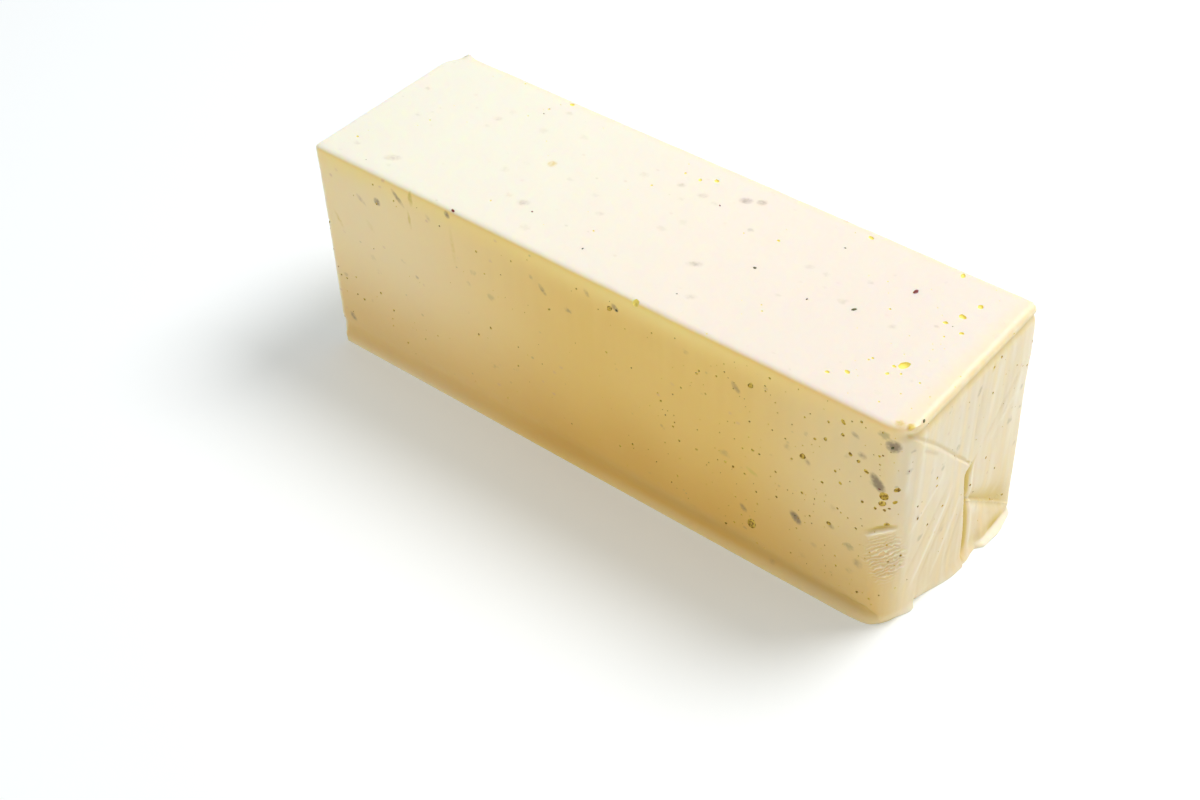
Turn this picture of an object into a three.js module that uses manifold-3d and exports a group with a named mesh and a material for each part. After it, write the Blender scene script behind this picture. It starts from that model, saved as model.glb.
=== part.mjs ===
// A loaf of soft white cheese with jalapeno and pepper bits, cast in a folded film liner.
// Millimetres. +X runs along the loaf to the end with the liner's folds, the other end is a
// knife cut, -Y is the front and +Z is up. The origin is under the middle of the loaf.
import * as THREE from "three";
import { mergeVertices } from "three/addons/utils/BufferGeometryUtils.js";
import Module from "manifold-3d";

const { clamp, degToRad, lerp, smoothstep } = THREE.MathUtils;

// The block
const LOAF_LENGTH = 269;
const LOAF_WIDTH = 84;
const LOAF_HEIGHT = 97;
const HALF = new THREE.Vector3(LOAF_LENGTH / 2, LOAF_WIDTH / 2, LOAF_HEIGHT / 2);

// How far each corner strays from the true block: along, across, up
const LEAN = {
  cutFrontTop: new THREE.Vector3(0, -0.3, -0.4),
  cutBackTop: new THREE.Vector3(-1.5, -0.3, 0.9),
  foldFrontTop: new THREE.Vector3(1.2, 0.4, -0.6),
  foldBackTop: new THREE.Vector3(-1.2, 0.3, 0.6),
  cutFrontFoot: new THREE.Vector3(-0.2, 2.4, 0),
  cutBackFoot: new THREE.Vector3(0.6, -1.6, 0),
  foldFrontFoot: new THREE.Vector3(-3.2, 3.2, 0),
  foldBackFoot: new THREE.Vector3(0.4, -0.8, 0),
};

// Edge radii
const LONG_EDGE_ROUND = 3.5;
const BOTTOM_ROUND = 1;
const CUT_ROUND = 1.5;
const CUT_FOOT_ROUND = 7;
const FOLD_TOP_ROUND = 3;
const FOLD_FRONT_ROUND = 10;
const FOLD_BACK_ROUND = 3.5;

// The foot, a low lip where the loaf slumped against the floor of its mould
const FOOT_HEIGHT = 5;
const FOOT_UPRIGHT = 2.4;
const FOOT_PROUD = 1.3;
const FOOT_VALLEY = 1;
const FOOT_VALLEY_UP = 8;
const FOOT_VALLEY_DROP = 5;
const FOOT_VALLEY_SPREAD = 3.4;
const FOOT_VALLEY_NARROWING = 1.2;
const FOOT_FADE_FROM = 116;
const FOOT_FADE_TO = 131;
const FOOT_FADE_SHARE = 0.6;
// How far round an edge the relief of a side or an end still reaches
const SIDE_REACH = 6;
const END_REACH = 7;
const FULL_RELIEF = 1;

// Soft unevenness of the sides
const WAVE_DEPTH = 0.3;
const WAVE_ALONG = 78;
const WAVE_UP = 61;

// The folded end. Its folds meet at the knot, as on a wrapped parcel.
const KNOT_ACROSS = 2.6;
const KNOT_UP = 51.8;
const FLAP_RISE = 1.2;
const FLAP_RISE_AT_CORNER = 0.4;
const FLAP_EDGE_WIDTH = 1.2;
const CREASE_DEPTH = 0.5;
const CREASE_WIDTH = 1.2;
const CREASE_BOW = 1.2;
const CREASE_BOW_ACROSS = -24;
const CREASE_BOW_LENGTH = 13;
// The flap's edge runs from its foot back to the knot, where it turns out again.
const FLAP_FOOT_ACROSS = 3.9;
const FLAP_BACK = 4.1;
const FLAP_BACK_FROM = 8;
const FLAP_BACK_TO = 46;
const KNOT_OUT = 3.2;
const KNOT_OUT_HEIGHT = 2.2;
// How far above the knot and to both sides the surface's points still follow the flap's edge
const FLAP_SLIDE_ABOVE = 8;
const FLAP_SLIDE_REACH = 12;
const GROOVE_DEPTH = 1.2;
const GROOVE_WIDTH = 1.5;
const GROOVE_AT = 1.1 * GROOVE_WIDTH;
const GROOVE_FOOT = 8;
const GROOVE_HEAD = 4;
const GROOVE_PAST = 4.2;
const FAR_PANEL_SUNK = 0.5;
const FAR_CREASE_RISE = 0.6;
const SLANT_FROM = new THREE.Vector2(8, 29.6);
const SLANT_TO = new THREE.Vector2(33, 14.6);
const SLANT_DEPTH = 1.2;
const SLANT_WIDTH = 3;
const POCKET_ACROSS = 32;
const POCKET_UP = 3.4;
const POCKET_DEPTH = 1;
const POCKET_SIZE = new THREE.Vector2(9, 1.3);
const FAR_FADE_FROM = 30;
const TOP_GROOVE_DROP = 4.5;
const TOP_GROOVE_DEPTH = 0.9;
const TOP_GROOVE_WIDTH = 1.8;

// The foot of the folded end, pressed out by the film's hem: a flare with a thin rim below it
const HEM_PROUD = 3.4;
const HEM_FROM = 15.5;
const HEM_TO = 19.5;
const HEM_FADE_FROM = 27;
const HEM_FADE_SHARE = 0.8;
const HEM_FLARE_SHARE = 0.38;
const HEM_FLARE_FROM = 13;
const HEM_FLARE_TO = 2;
const HEM_RIM_FROM = 2.4;
const HEM_RIM_TO = 1;
const FAR_FOOT_PROUD = 1.2;
const FAR_FOOT_SWELL = 1.2;
const FAR_FOOT_ACROSS = 7.5;
const FAR_FOOT_LENGTH = 5;
const FAR_FOOT_HEIGHT = 5;
const NEAR_SWELL = 1.6;
const NEAR_SWELL_FROM = -22;
const NEAR_FOOT_HEIGHT = 6;

// A thin tongue of cheese at the foot of the flap, and the notch beside it
const TONGUE_PROUD = 2.4;
const TONGUE_FROM = -35;
const TONGUE_FULL = -26;
const TONGUE_END = new THREE.Vector2(-25.2, -23.6);
const NOTCH_ACROSS = -21.8;
const NOTCH_DEPTH = 0.5;
const NOTCH_WIDTH = 1.5;

// The chip that the knife broke from the back corner of the cut end
const CHIP_DEPTH = 5;
const CHIP_ACROSS = 12;
const CHIP_DROP = 16;
const NIB_RISE = 1;
const NIB_SIZE = 2.4;
const NIB_AT = new THREE.Vector2(-130, 40);

// Spacing of the surface's rows of points
const ROUND_STEPS = 3;
const EIGHTH_TURN = degToRad(45);
const COARSE_STEP = 20;
const FINE_STEP = 6.4;
const ACROSS_STEP = 4.6;
const UP_STEP = 5;
const FINE_FROM = 100;
const CHIP_PAST = 10;

// The largest air pits: face, place along the loaf, place up or across, and mean width
const PITS = [
  { face: "front", along: 76.2, other: 19.2, width: 3.2 },
  { face: "front", along: 127.8, other: 65.2, width: 2.9 },
  { face: "front", along: 127.5, other: 61.6, width: 2 },
  { face: "front", along: 95.3, other: 64.8, width: 2.1 },
  { face: "front", along: 130.2, other: 51.8, width: 2 },
  { face: "front", along: 23, other: 93.6, width: 2.4 },
  { face: "front", along: 11.5, other: 88, width: 1.8 },
  { face: "top", along: 114.5, other: -14.2, width: 2.7 },
  { face: "top", along: 119.2, other: 27.2, width: 1.9 },
  { face: "top", along: 117, other: 19, width: 1.9 },
  { face: "top", along: 68.5, other: 36.8, width: 1.7 },
  { face: "top", along: 3.8, other: 32, width: 1.6 },
];
const PIT_DEPTH_SHARE = 0.35;
const PIT_LENGTH_SHARE = 1.3;

const bell = (offset, width) => Math.exp(-((offset / width) ** 2));

// Pulls a point of a square corner onto a round one, in the plane of two axes.
function roundPair(point, axisA, axisB, radius) {
  const innerA = HALF[axisA] - radius;
  const innerB = HALF[axisB] - radius;
  const baseA = clamp(point[axisA], -innerA, innerA);
  const baseB = clamp(point[axisB], -innerB, innerB);
  const overA = point[axisA] - baseA;
  const overB = point[axisB] - baseB;
  const reach = Math.hypot(overA, overB);
  if (reach === 0) {
    return;
  }
  const pull = Math.max(Math.abs(overA), Math.abs(overB)) / reach;
  point[axisA] = baseA + overA * pull;
  point[axisB] = baseB + overB * pull;
}

function roundEdges(point) {
  const folded = point.x > 0;
  const upper = point.z > 0;
  roundPair(point, "y", "z", upper ? LONG_EDGE_ROUND : BOTTOM_ROUND);
  const foldSide = point.y < 0 ? FOLD_FRONT_ROUND : FOLD_BACK_ROUND;
  roundPair(point, "x", "y", folded ? foldSide : CUT_ROUND);
  const foldEnd = upper ? FOLD_TOP_ROUND : BOTTOM_ROUND;
  const cutEnd = upper ? CUT_ROUND : CUT_FOOT_ROUND;
  roundPair(point, "x", "z", folded ? foldEnd : cutEnd);
}

// Moves a point by the leans of the eight corners, each in proportion to how near it is.
function leanCorners(point) {
  const along = (point.x / HALF.x + 1) / 2;
  const across = (point.y / HALF.y + 1) / 2;
  const up = (point.z / HALF.z + 1) / 2;
  for (const [corner, lean] of Object.entries(LEAN)) {
    const alongShare = corner.startsWith("fold") ? along : 1 - along;
    const acrossShare = corner.includes("Back") ? across : 1 - across;
    const upShare = corner.endsWith("Top") ? up : 1 - up;
    point.addScaledVector(lean, alongShare * acrossShare * upShare);
  }
}

// How far the side walls stand out at a height: the foot's lip, and the valley over it that
// comes down in a V to the floor at the folded corner.
function footReach(along, height) {
  const toCorner = smoothstep(along, FOOT_FADE_FROM, FOOT_FADE_TO);
  const lip = FOOT_PROUD * (1 - smoothstep(height, FOOT_UPRIGHT, FOOT_HEIGHT));
  const valleyUp = FOOT_VALLEY_UP - FOOT_VALLEY_DROP * toCorner;
  const spread = FOOT_VALLEY_SPREAD - FOOT_VALLEY_NARROWING * toCorner;
  const valley = FOOT_VALLEY * bell(height - valleyUp, spread);
  return (lip - valley) * (1 - FOOT_FADE_SHARE * toCorner);
}

function sideWave(along, height) {
  return WAVE_DEPTH * Math.sin(along / WAVE_ALONG * Math.PI) * Math.cos(height / WAVE_UP * Math.PI);
}

// Where the flap's edge lies at a height.
function flapEdge(height) {
  const back = FLAP_BACK * smoothstep(height, FLAP_BACK_FROM, FLAP_BACK_TO);
  return FLAP_FOOT_ACROSS - back + KNOT_OUT * bell(height - KNOT_UP, KNOT_OUT_HEIGHT);
}

// Height of the slanted crease on the far panel.
function slantUp(across) {
  const share = (across - SLANT_FROM.x) / (SLANT_TO.x - SLANT_FROM.x);
  return lerp(SLANT_FROM.y, SLANT_TO.y, share);
}

// The near flap lies over the end, below the diagonal that runs from the front top corner.
function nearFlap(across, height) {
  const bow = CREASE_BOW * bell(across - CREASE_BOW_ACROSS, CREASE_BOW_LENGTH);
  const diagonal = (KNOT_UP + KNOT_ACROSS + bow - across - height) / Math.SQRT2;
  const inFlap = smoothstep(diagonal, 0, FLAP_EDGE_WIDTH);
  const toEdge = smoothstep(across, -HALF.y, KNOT_ACROSS);
  const rise = lerp(FLAP_RISE_AT_CORNER, FLAP_RISE, toEdge);
  const crease = CREASE_DEPTH * bell(diagonal, CREASE_WIDTH);
  const swell = lerp(-NEAR_SWELL, NEAR_SWELL, smoothstep(across, NEAR_SWELL_FROM, 0));
  const foot = swell * (1 - smoothstep(height, 0, NEAR_FOOT_HEIGHT));
  return rise * inFlap - crease + foot;
}

function tongueAndNotch(across, height) {
  const tongueEnd = 1 - smoothstep(across, TONGUE_END.x, TONGUE_END.y);
  const tongue = TONGUE_PROUD * smoothstep(across, TONGUE_FROM, TONGUE_FULL) * tongueEnd;
  const notch = NOTCH_DEPTH * bell(across - NOTCH_ACROSS, NOTCH_WIDTH);
  return (tongue - notch) * (1 - smoothstep(height, 0, NEAR_FOOT_HEIGHT));
}

function hemReach(across, height) {
  const flare = HEM_FLARE_SHARE * (1 - smoothstep(height, HEM_FLARE_TO, HEM_FLARE_FROM));
  const rim = (1 - HEM_FLARE_SHARE) * (1 - smoothstep(height, HEM_RIM_TO, HEM_RIM_FROM));
  const fade = 1 - HEM_FADE_SHARE * smoothstep(across, HEM_FADE_FROM, HALF.y);
  return HEM_PROUD * smoothstep(across, HEM_FROM, HEM_TO) * fade * (flare + rim);
}

// The far panel is sunk behind the flap's edge, with a slanted crease, a pocket and a hem.
function farPanel(across, height) {
  const farDiagonal = KNOT_UP + FAR_CREASE_RISE * (across - KNOT_ACROSS) - height;
  const sunk = FAR_PANEL_SUNK * smoothstep(farDiagonal, 0, SLANT_WIDTH);
  const aboveFoot = smoothstep(height, BOTTOM_ROUND, GROOVE_FOOT);
  const belowKnot = smoothstep(KNOT_UP - height, 0, GROOVE_HEAD);
  const intoGroove = bell(across - flapEdge(height) - GROOVE_AT, GROOVE_WIDTH);
  const groove = GROOVE_DEPTH * intoGroove * aboveFoot * belowKnot;
  const beforeCorner = 1 - smoothstep(across, FAR_FADE_FROM, HALF.y);
  const slant = SLANT_DEPTH * bell(height - slantUp(across), SLANT_WIDTH) * beforeCorner;
  const pocketAcross = bell(across - POCKET_ACROSS, POCKET_SIZE.x);
  const pocket = POCKET_DEPTH * pocketAcross * bell(height - POCKET_UP, POCKET_SIZE.y);
  const swell = 1 + FAR_FOOT_SWELL * bell(across - FAR_FOOT_ACROSS, FAR_FOOT_LENGTH);
  const beforeHem = 1 - smoothstep(across, HEM_FROM, HEM_TO);
  const foot = FAR_FOOT_PROUD * swell * beforeHem * (1 - smoothstep(height, 0, FAR_FOOT_HEIGHT));
  return hemReach(across, height) + foot - sunk - groove - slant - pocket;
}

function foldRelief(across, height) {
  const fromEdge = across - flapEdge(height);
  const pastEdge = smoothstep(fromEdge, -FLAP_EDGE_WIDTH / 2, FLAP_EDGE_WIDTH / 2);
  const topGroove = TOP_GROOVE_DEPTH * bell(height - LOAF_HEIGHT + TOP_GROOVE_DROP, TOP_GROOVE_WIDTH);
  const panels = lerp(nearFlap(across, height), farPanel(across, height), pastEdge);
  return panels + tongueAndNotch(across, height) - topGroove;
}

// Slides the points beside the flap's edge so that they follow it.
function followFlapEdge(point) {
  const height = point.z + HALF.z;
  const onEnd = point.x > HALF.x - FOLD_TOP_ROUND && height < KNOT_UP + FLAP_SLIDE_ABOVE;
  if (onEnd) {
    const slide = flapEdge(height) - KNOT_ACROSS;
    point.y += slide * bell(point.y - KNOT_ACROSS, FLAP_SLIDE_REACH);
  }
}

function chipCorner(point, height) {
  const atBack = smoothstep(point.y, HALF.y - CHIP_ACROSS, HALF.y);
  const atTop = smoothstep(height, LOAF_HEIGHT - CHIP_DROP, LOAF_HEIGHT);
  const atEnd = smoothstep(-point.x, HALF.x - CHIP_DEPTH, HALF.x);
  point.x += CHIP_DEPTH * atBack * atTop * atEnd;
  const nib = bell(point.x - NIB_AT.x, NIB_SIZE) * bell(point.y - NIB_AT.y, NIB_SIZE);
  point.z += NIB_RISE * nib * smoothstep(height, LOAF_HEIGHT - LONG_EDGE_ROUND, LOAF_HEIGHT);
}

// Takes a point of the true block's surface to the loaf's own surface.
function toLoaf(point) {
  const blockHeight = point.z + HALF.z;
  followFlapEdge(point);
  roundEdges(point);
  const height = point.z + HALF.z;
  const onSide = smoothstep(Math.abs(point.y), HALF.y - SIDE_REACH, HALF.y - FULL_RELIEF);
  const onFolds = smoothstep(point.x, HALF.x - END_REACH, HALF.x - FULL_RELIEF);
  const wave = sideWave(point.x, height) * smoothstep(height, 0, FOOT_HEIGHT);
  const sidePush = footReach(point.x, height) + wave;
  const endPush = foldRelief(point.y, height);
  leanCorners(point);
  point.y += Math.sign(point.y) * onSide * sidePush;
  point.x += onFolds * endPush;
  chipCorner(point, blockHeight);
  point.z = blockHeight === 0 ? 0 : point.z + HALF.z;
  return point;
}

// Rows of points through a rounded corner, closer together where it turns most.
function cornerRows(edge, radius) {
  const rows = [];
  for (let step = 0; step <= ROUND_STEPS; step += 1) {
    rows.push(edge - radius + radius * Math.tan(EIGHTH_TURN * step / ROUND_STEPS));
  }
  return rows;
}

function evenRows(from, to, spacing) {
  const count = Math.max(1, Math.round((to - from) / spacing));
  return Array.from({ length: count - 1 }, (_, row) => lerp(from, to, (row + 1) / count));
}

const sorted = (rows) => [...new Set(rows)].sort((a, b) => a - b);
const mirrored = (rows) => rows.map((row) => -row);

function rowsAlong() {
  const cut = mirrored([...cornerRows(HALF.x, CUT_FOOT_ROUND), HALF.x - CUT_ROUND]);
  const folded = cornerRows(HALF.x, FOLD_FRONT_ROUND);
  const chipStart = CHIP_PAST - HALF.x;
  const plain = evenRows(chipStart, FINE_FROM, COARSE_STEP);
  const fine = evenRows(FINE_FROM, HALF.x - FOLD_FRONT_ROUND, FINE_STEP);
  return sorted([...cut, chipStart, ...plain, FINE_FROM, ...fine, ...folded]);
}

function rowsAcross() {
  const front = mirrored([...cornerRows(HALF.y, FOLD_FRONT_ROUND), ...cornerRows(HALF.y, LONG_EDGE_ROUND)]);
  const back = cornerRows(HALF.y, LONG_EDGE_ROUND);
  const beforeFlapEdge = KNOT_ACROSS - FLAP_EDGE_WIDTH / 2;
  const afterFlapEdge = KNOT_ACROSS + FLAP_EDGE_WIDTH / 2;
  const grooveFloor = KNOT_ACROSS + GROOVE_AT;
  const pastGroove = KNOT_ACROSS + GROOVE_PAST;
  const tongue = [TONGUE_FULL, TONGUE_END.y, NOTCH_ACROSS];
  const near = evenRows(NOTCH_ACROSS, beforeFlapEdge, ACROSS_STEP);
  const edge = [beforeFlapEdge, afterFlapEdge, grooveFloor, pastGroove];
  const middle = evenRows(pastGroove, HEM_FROM, ACROSS_STEP);
  const far = evenRows(HEM_TO, HALF.y - LONG_EDGE_ROUND, ACROSS_STEP);
  return sorted([...front, ...tongue, ...near, ...edge, ...middle, HEM_FROM, HEM_TO, ...far, ...back]);
}

function rowsUp() {
  const top = cornerRows(HALF.z, LONG_EDGE_ROUND);
  const foot = [0, BOTTOM_ROUND, FOOT_UPRIGHT, POCKET_UP, FOOT_HEIGHT, FOOT_VALLEY_UP];
  const footRows = foot.map((row) => row - HALF.z);
  const grooveRow = HALF.z - TOP_GROOVE_DROP;
  const under = grooveRow - TOP_GROOVE_WIDTH;
  const plain = evenRows(FOOT_VALLEY_UP - HALF.z, under, UP_STEP);
  return sorted([...footRows, ...plain, under, grooveRow, ...top]);
}

function loafShell() {
  const rows = { x: rowsAlong(), y: rowsAcross(), z: rowsUp() };
  const counts = [rows.x.length - 1, rows.y.length - 1, rows.z.length - 1];
  const box = new THREE.BoxGeometry(...counts, ...counts);
  box.deleteAttribute("normal");
  box.deleteAttribute("uv");
  const shell = mergeVertices(box);
  const places = shell.getAttribute("position");
  const point = new THREE.Vector3();
  for (let index = 0; index < places.count; index += 1) {
    point.fromBufferAttribute(places, index);
    point.x = rows.x[Math.round(point.x + counts[0] / 2)];
    point.y = rows.y[Math.round(point.y + counts[1] / 2)];
    point.z = rows.z[Math.round(point.z + counts[2] / 2)];
    toLoaf(point);
    places.setXYZ(index, point.x, point.y, point.z);
  }
  return shell;
}

// A shallow hollow's cutter, a long low ball set in the skin.
function pitCutter({ face, along, other, width }) {
  const onFront = face === "front";
  const place = onFront
    ? new THREE.Vector3(along, -HALF.y, other - HALF.z)
    : new THREE.Vector3(along, other, HALF.z);
  toLoaf(place);
  const ball = new THREE.IcosahedronGeometry(width / 2, 2);
  ball.deleteAttribute("normal");
  ball.deleteAttribute("uv");
  const inward = 2 * PIT_DEPTH_SHARE;
  ball.scale(PIT_LENGTH_SHARE, onFront ? inward : 1, onFront ? 1 : inward);
  ball.translate(place.x, place.y, place.z);
  return mergeVertices(ball);
}

const wasm = await Module();
wasm.setup();

function toSolid(geometry) {
  const vertProperties = new Float32Array(geometry.getAttribute("position").array);
  const triVerts = new Uint32Array(geometry.getIndex().array);
  return new wasm.Manifold(new wasm.Mesh({ numProp: 3, vertProperties, triVerts }));
}

function toGeometry(solid) {
  const mesh = solid.getMesh();
  const geometry = new THREE.BufferGeometry();
  geometry.setAttribute("position", new THREE.BufferAttribute(mesh.vertProperties, 3));
  geometry.setIndex(new THREE.BufferAttribute(mesh.triVerts, 1));
  geometry.computeVertexNormals();
  return geometry;
}

// Sets the origin under the middle of the finished loaf.
function centreOverOrigin(geometry) {
  geometry.computeBoundingBox();
  const middle = geometry.boundingBox.getCenter(new THREE.Vector3());
  geometry.translate(-middle.x, -middle.y, 0);
}

function cheeseLoaf() {
  let solid = toSolid(loafShell());
  for (const pit of PITS) {
    solid = solid.subtract(toSolid(pitCutter(pit)));
  }
  const geometry = toGeometry(solid);
  centreOverOrigin(geometry);
  const cream = new THREE.MeshStandardMaterial({ color: 0xf3e8cb, roughness: 0.42, metalness: 0 });
  const loaf = new THREE.Mesh(geometry, cream);
  loaf.name = "cheese_loaf";
  return loaf;
}

const group = new THREE.Group();
group.add(cheeseLoaf());

export default group;
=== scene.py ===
# %% [markdown]
# # A loaf of soft white cheese with jalapeno and pepper bits
#
# This lesson dresses one loaf of semi-soft cheese. The real one was cast in a box lined with
# thin film, so one end keeps the folds of that film, and a knife has cut the other end. The
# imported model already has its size, its place and its main folds. Blender adds what the eye
# needs to believe it: finer folds, air pits, bits of pepper and a skin that lets light in.
#
# Lengths are in millimetres all through the lesson, and MM turns them into Blender's metres.

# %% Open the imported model
import math
import bmesh
import bpy
from mathutils import Matrix, Vector


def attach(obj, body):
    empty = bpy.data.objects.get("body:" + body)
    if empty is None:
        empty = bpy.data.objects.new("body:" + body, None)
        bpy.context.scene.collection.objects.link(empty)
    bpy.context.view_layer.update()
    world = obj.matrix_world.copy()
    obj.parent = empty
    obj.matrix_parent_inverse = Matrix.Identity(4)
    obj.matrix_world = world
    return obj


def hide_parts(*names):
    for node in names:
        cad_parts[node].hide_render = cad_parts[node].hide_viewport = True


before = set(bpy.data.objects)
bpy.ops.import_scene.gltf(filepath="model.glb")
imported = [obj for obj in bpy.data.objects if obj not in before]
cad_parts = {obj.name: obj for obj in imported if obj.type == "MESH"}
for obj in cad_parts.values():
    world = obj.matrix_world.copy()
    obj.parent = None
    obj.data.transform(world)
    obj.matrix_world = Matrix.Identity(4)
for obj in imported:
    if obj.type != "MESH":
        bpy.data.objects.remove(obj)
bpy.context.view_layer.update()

# %% [markdown]
# ## Formulas as nodes
#
# Both the shape and the skin of this loaf follow formulas. A node tree can work them out, but
# fifty maths nodes linked by hand are hard to read. The small class below stands for a value
# that nodes work out. Adding or multiplying two of them adds the maths node, so the rest of
# the lesson can write its formulas as plain sums.

# %% A value worked out by nodes
def feed(tree, slot, value):
    """Links a field to a node's input, or sets the input where the value is a plain one."""
    if isinstance(value, Field):
        tree.links.new(value.socket, slot)
    else:
        slot.default_value = value


class Field:
    """A value worked out by nodes of a tree. Sums with it add maths nodes."""

    def __init__(self, tree, socket):
        self.tree = tree
        self.socket = socket

    def math(self, operation, *others):
        node = self.tree.nodes.new("ShaderNodeMath")
        node.operation = operation
        for slot, value in zip(node.inputs, (self, *others)):
            feed(self.tree, slot, value)
        return Field(self.tree, node.outputs[0])

    def __add__(self, other):
        return self.math("ADD", other)

    def __sub__(self, other):
        return self.math("SUBTRACT", other)

    def __rsub__(self, other):
        return self.math("MULTIPLY_ADD", -1, other)

    def __mul__(self, other):
        return self.math("MULTIPLY", other)

    def __truediv__(self, other):
        return self.math("DIVIDE", other)

    def __abs__(self):
        return self.math("ABSOLUTE")

    __radd__ = __add__
    __rmul__ = __mul__


def add_node(tree, kind, feeds=(), **settings):
    """A new node with its settings, and its inputs fed by name."""
    node = tree.nodes.new(kind)
    for setting, value in settings.items():
        setattr(node, setting, value)
    for slot, value in dict(feeds).items():
        feed(tree, node.inputs[slot], value)
    return node

# %% The curves that the formulas use
def smoothstep(value, low, high):
    """0 below low, 1 above high, and an S between them."""
    limits = {"Value": value, "From Min": low, "From Max": high}
    node = add_node(value.tree, "ShaderNodeMapRange", limits, interpolation_type="SMOOTHSTEP")
    return Field(value.tree, node.outputs["Result"])


def bell(offset, width):
    """1 where the offset is nothing, falling away on both sides."""
    share = offset / width
    return (share * share * -1).math("EXPONENT")


def lerp(start, end, share):
    return (end - start) * share + start


def clamp(value, low, high):
    return value.math("MAXIMUM", low).math("MINIMUM", high)


def larger(one, other):
    return one.math("MAXIMUM", other)


def length_of(one, other):
    return (one * one + other * other).math("SQRT")


def split(tree, vector):
    node = add_node(tree, "ShaderNodeSeparateXYZ", {"Vector": vector})
    return [Field(tree, socket) for socket in node.outputs]


def join(tree, along, across, up):
    node = add_node(tree, "ShaderNodeCombineXYZ", {"X": along, "Y": across, "Z": up})
    return Field(tree, node.outputs[0])

# %% [markdown]
# ## Recipes
#
# A Geometry Nodes tree is a recipe that can be run on any mesh. Each recipe here lists its
# sizes by name, so they can be changed on the modifier. After a run the result is kept as a
# plain mesh and the modifier goes, because the piece has to be exported as it is.

# %% A recipe
MM = 0.001


class Recipe:
    """A Geometry Nodes tree with named sizes."""

    def __init__(self, name, sizes):
        self.tree = bpy.data.node_groups.new(name, "GeometryNodeTree")
        self.sizes = sizes
        slots = self.tree.interface
        slots.new_socket("Geometry", in_out="INPUT", socket_type="NodeSocketGeometry")
        slots.new_socket("Geometry", in_out="OUTPUT", socket_type="NodeSocketGeometry")
        for size_name in sizes:
            slots.new_socket(size_name, in_out="INPUT", socket_type="NodeSocketFloat")
        self.entry = self.tree.nodes.new("NodeGroupInput")
        self.exit = self.tree.nodes.new("NodeGroupOutput")
        self.flow = Field(self.tree, self.entry.outputs["Geometry"])

    def size(self, name):
        return Field(self.tree, self.entry.outputs[name])

    def field(self, kind, output, feeds=(), **settings):
        node = add_node(self.tree, kind, feeds, **settings)
        outputs = [socket for socket in node.outputs if socket.enabled and socket.name == output]
        return Field(self.tree, outputs[0])

    def step(self, kind, feeds=(), into="Geometry", output="Geometry", **settings):
        """One more node that the geometry flows through."""
        node = add_node(self.tree, kind, {into: self.flow, **dict(feeds)}, **settings)
        self.flow = Field(self.tree, node.outputs[output])

    def read(self, name, kind="FLOAT"):
        feeds = {"Name": name}
        return self.field("GeometryNodeInputNamedAttribute", "Attribute", feeds, data_type=kind)

    def keep(self, name, value, kind="FLOAT"):
        self.step("GeometryNodeStoreNamedAttribute", {"Name": name, "Value": value}, data_type=kind)

    def scaled(self, vector, factor):
        feeds = {"Vector": vector, "Scale": factor}
        return self.field("ShaderNodeVectorMath", "Vector", feeds, operation="SCALE")

    def place_mm(self):
        """The point's place, in millimetres."""
        return self.scaled(self.field("GeometryNodeInputPosition", "Position"), 1 / MM)

    def move_to_mm(self, place):
        self.step("GeometryNodeSetPosition", {"Position": self.scaled(place, MM)})

    def move_by(self, offset):
        self.step("GeometryNodeSetPosition", {"Offset": offset})

    def finish(self):
        self.tree.links.new(self.flow.socket, self.exit.inputs["Geometry"])
        print(self.tree.name, "recipe:", len(self.tree.nodes), "nodes,", len(self.sizes), "sizes")

# %% How a recipe is run on a piece
def run(recipe, piece):
    """Runs a recipe on a piece and keeps the result as its plain mesh."""
    modifier = piece.modifiers.new(recipe.tree.name, "NODES")
    modifier.node_group = recipe.tree
    for item in recipe.tree.interface.items_tree:
        if item.in_out == "INPUT" and item.name in recipe.sizes:
            modifier[item.identifier] = float(recipe.sizes[item.name])
    keep_result(piece)


def keep_result(piece):
    """Turns what a piece's modifiers make into its own mesh."""
    depsgraph = bpy.context.evaluated_depsgraph_get()
    result = bpy.data.meshes.new_from_object(
        piece.evaluated_get(depsgraph), preserve_all_data_layers=True, depsgraph=depsgraph
    )
    piece.modifiers.clear()
    old = piece.data
    piece.data = result
    bpy.data.meshes.remove(old)
    result.name = piece.name
    print(piece.name, "has", len(result.vertices), "points and", len(result.polygons), "faces")


def new_piece(name, mesh):
    piece = bpy.data.objects.new(name, mesh)
    bpy.context.scene.collection.objects.link(piece)
    return piece

# %% [markdown]
# ## The block
#
# The loaf starts as the true block that its mould was. Formulas will bend this block, and a
# formula can only bend points that are there. So the faces are cut finer where the loaf turns
# or folds, and stay large where it is nearly flat. Cutting zones step by step keeps all of it
# one closed mesh.

# %% The true block, cut finer in zones
BLOCK = Vector((269, 84, 97))
HALF = BLOCK / 2
CELL = 2.7


def block_cells():
    """The block with cells of one size."""
    bm = bmesh.new()
    bmesh.ops.create_cube(bm, size=1)
    bmesh.ops.scale(bm, verts=bm.verts, vec=BLOCK)
    for axis, size in enumerate(BLOCK):
        along_axis = [
            edge for edge in bm.edges
            if abs(edge.verts[0].co[axis] - edge.verts[1].co[axis]) > 0.9 * size
        ]
        cuts = round(size / CELL) - 1
        bmesh.ops.subdivide_edges(bm, edges=along_axis, cuts=cuts, use_grid_fill=True)
    return bm


def cut_finer(bm, in_zone):
    """Cuts each face whose middle lies in the zone into four."""
    edges = set()
    for face in bm.faces:
        along, across, up = face.calc_center_median()
        if in_zone(along, across, up + HALF.z):
            edges.update(face.edges)
    bmesh.ops.subdivide_edges(bm, edges=list(edges), cuts=1, use_grid_fill=True)
    print("block now has", len(bm.faces), "faces")

# %% The zones
KNOT_ACROSS = 2.6
KNOT_UP = 51.8
RIPPLES_AT = Vector((131, 33))


def round_corner_length(along, across):
    """Distance along the front, round the folded corner and on over the end."""
    return along + (across + HALF.y)


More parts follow.
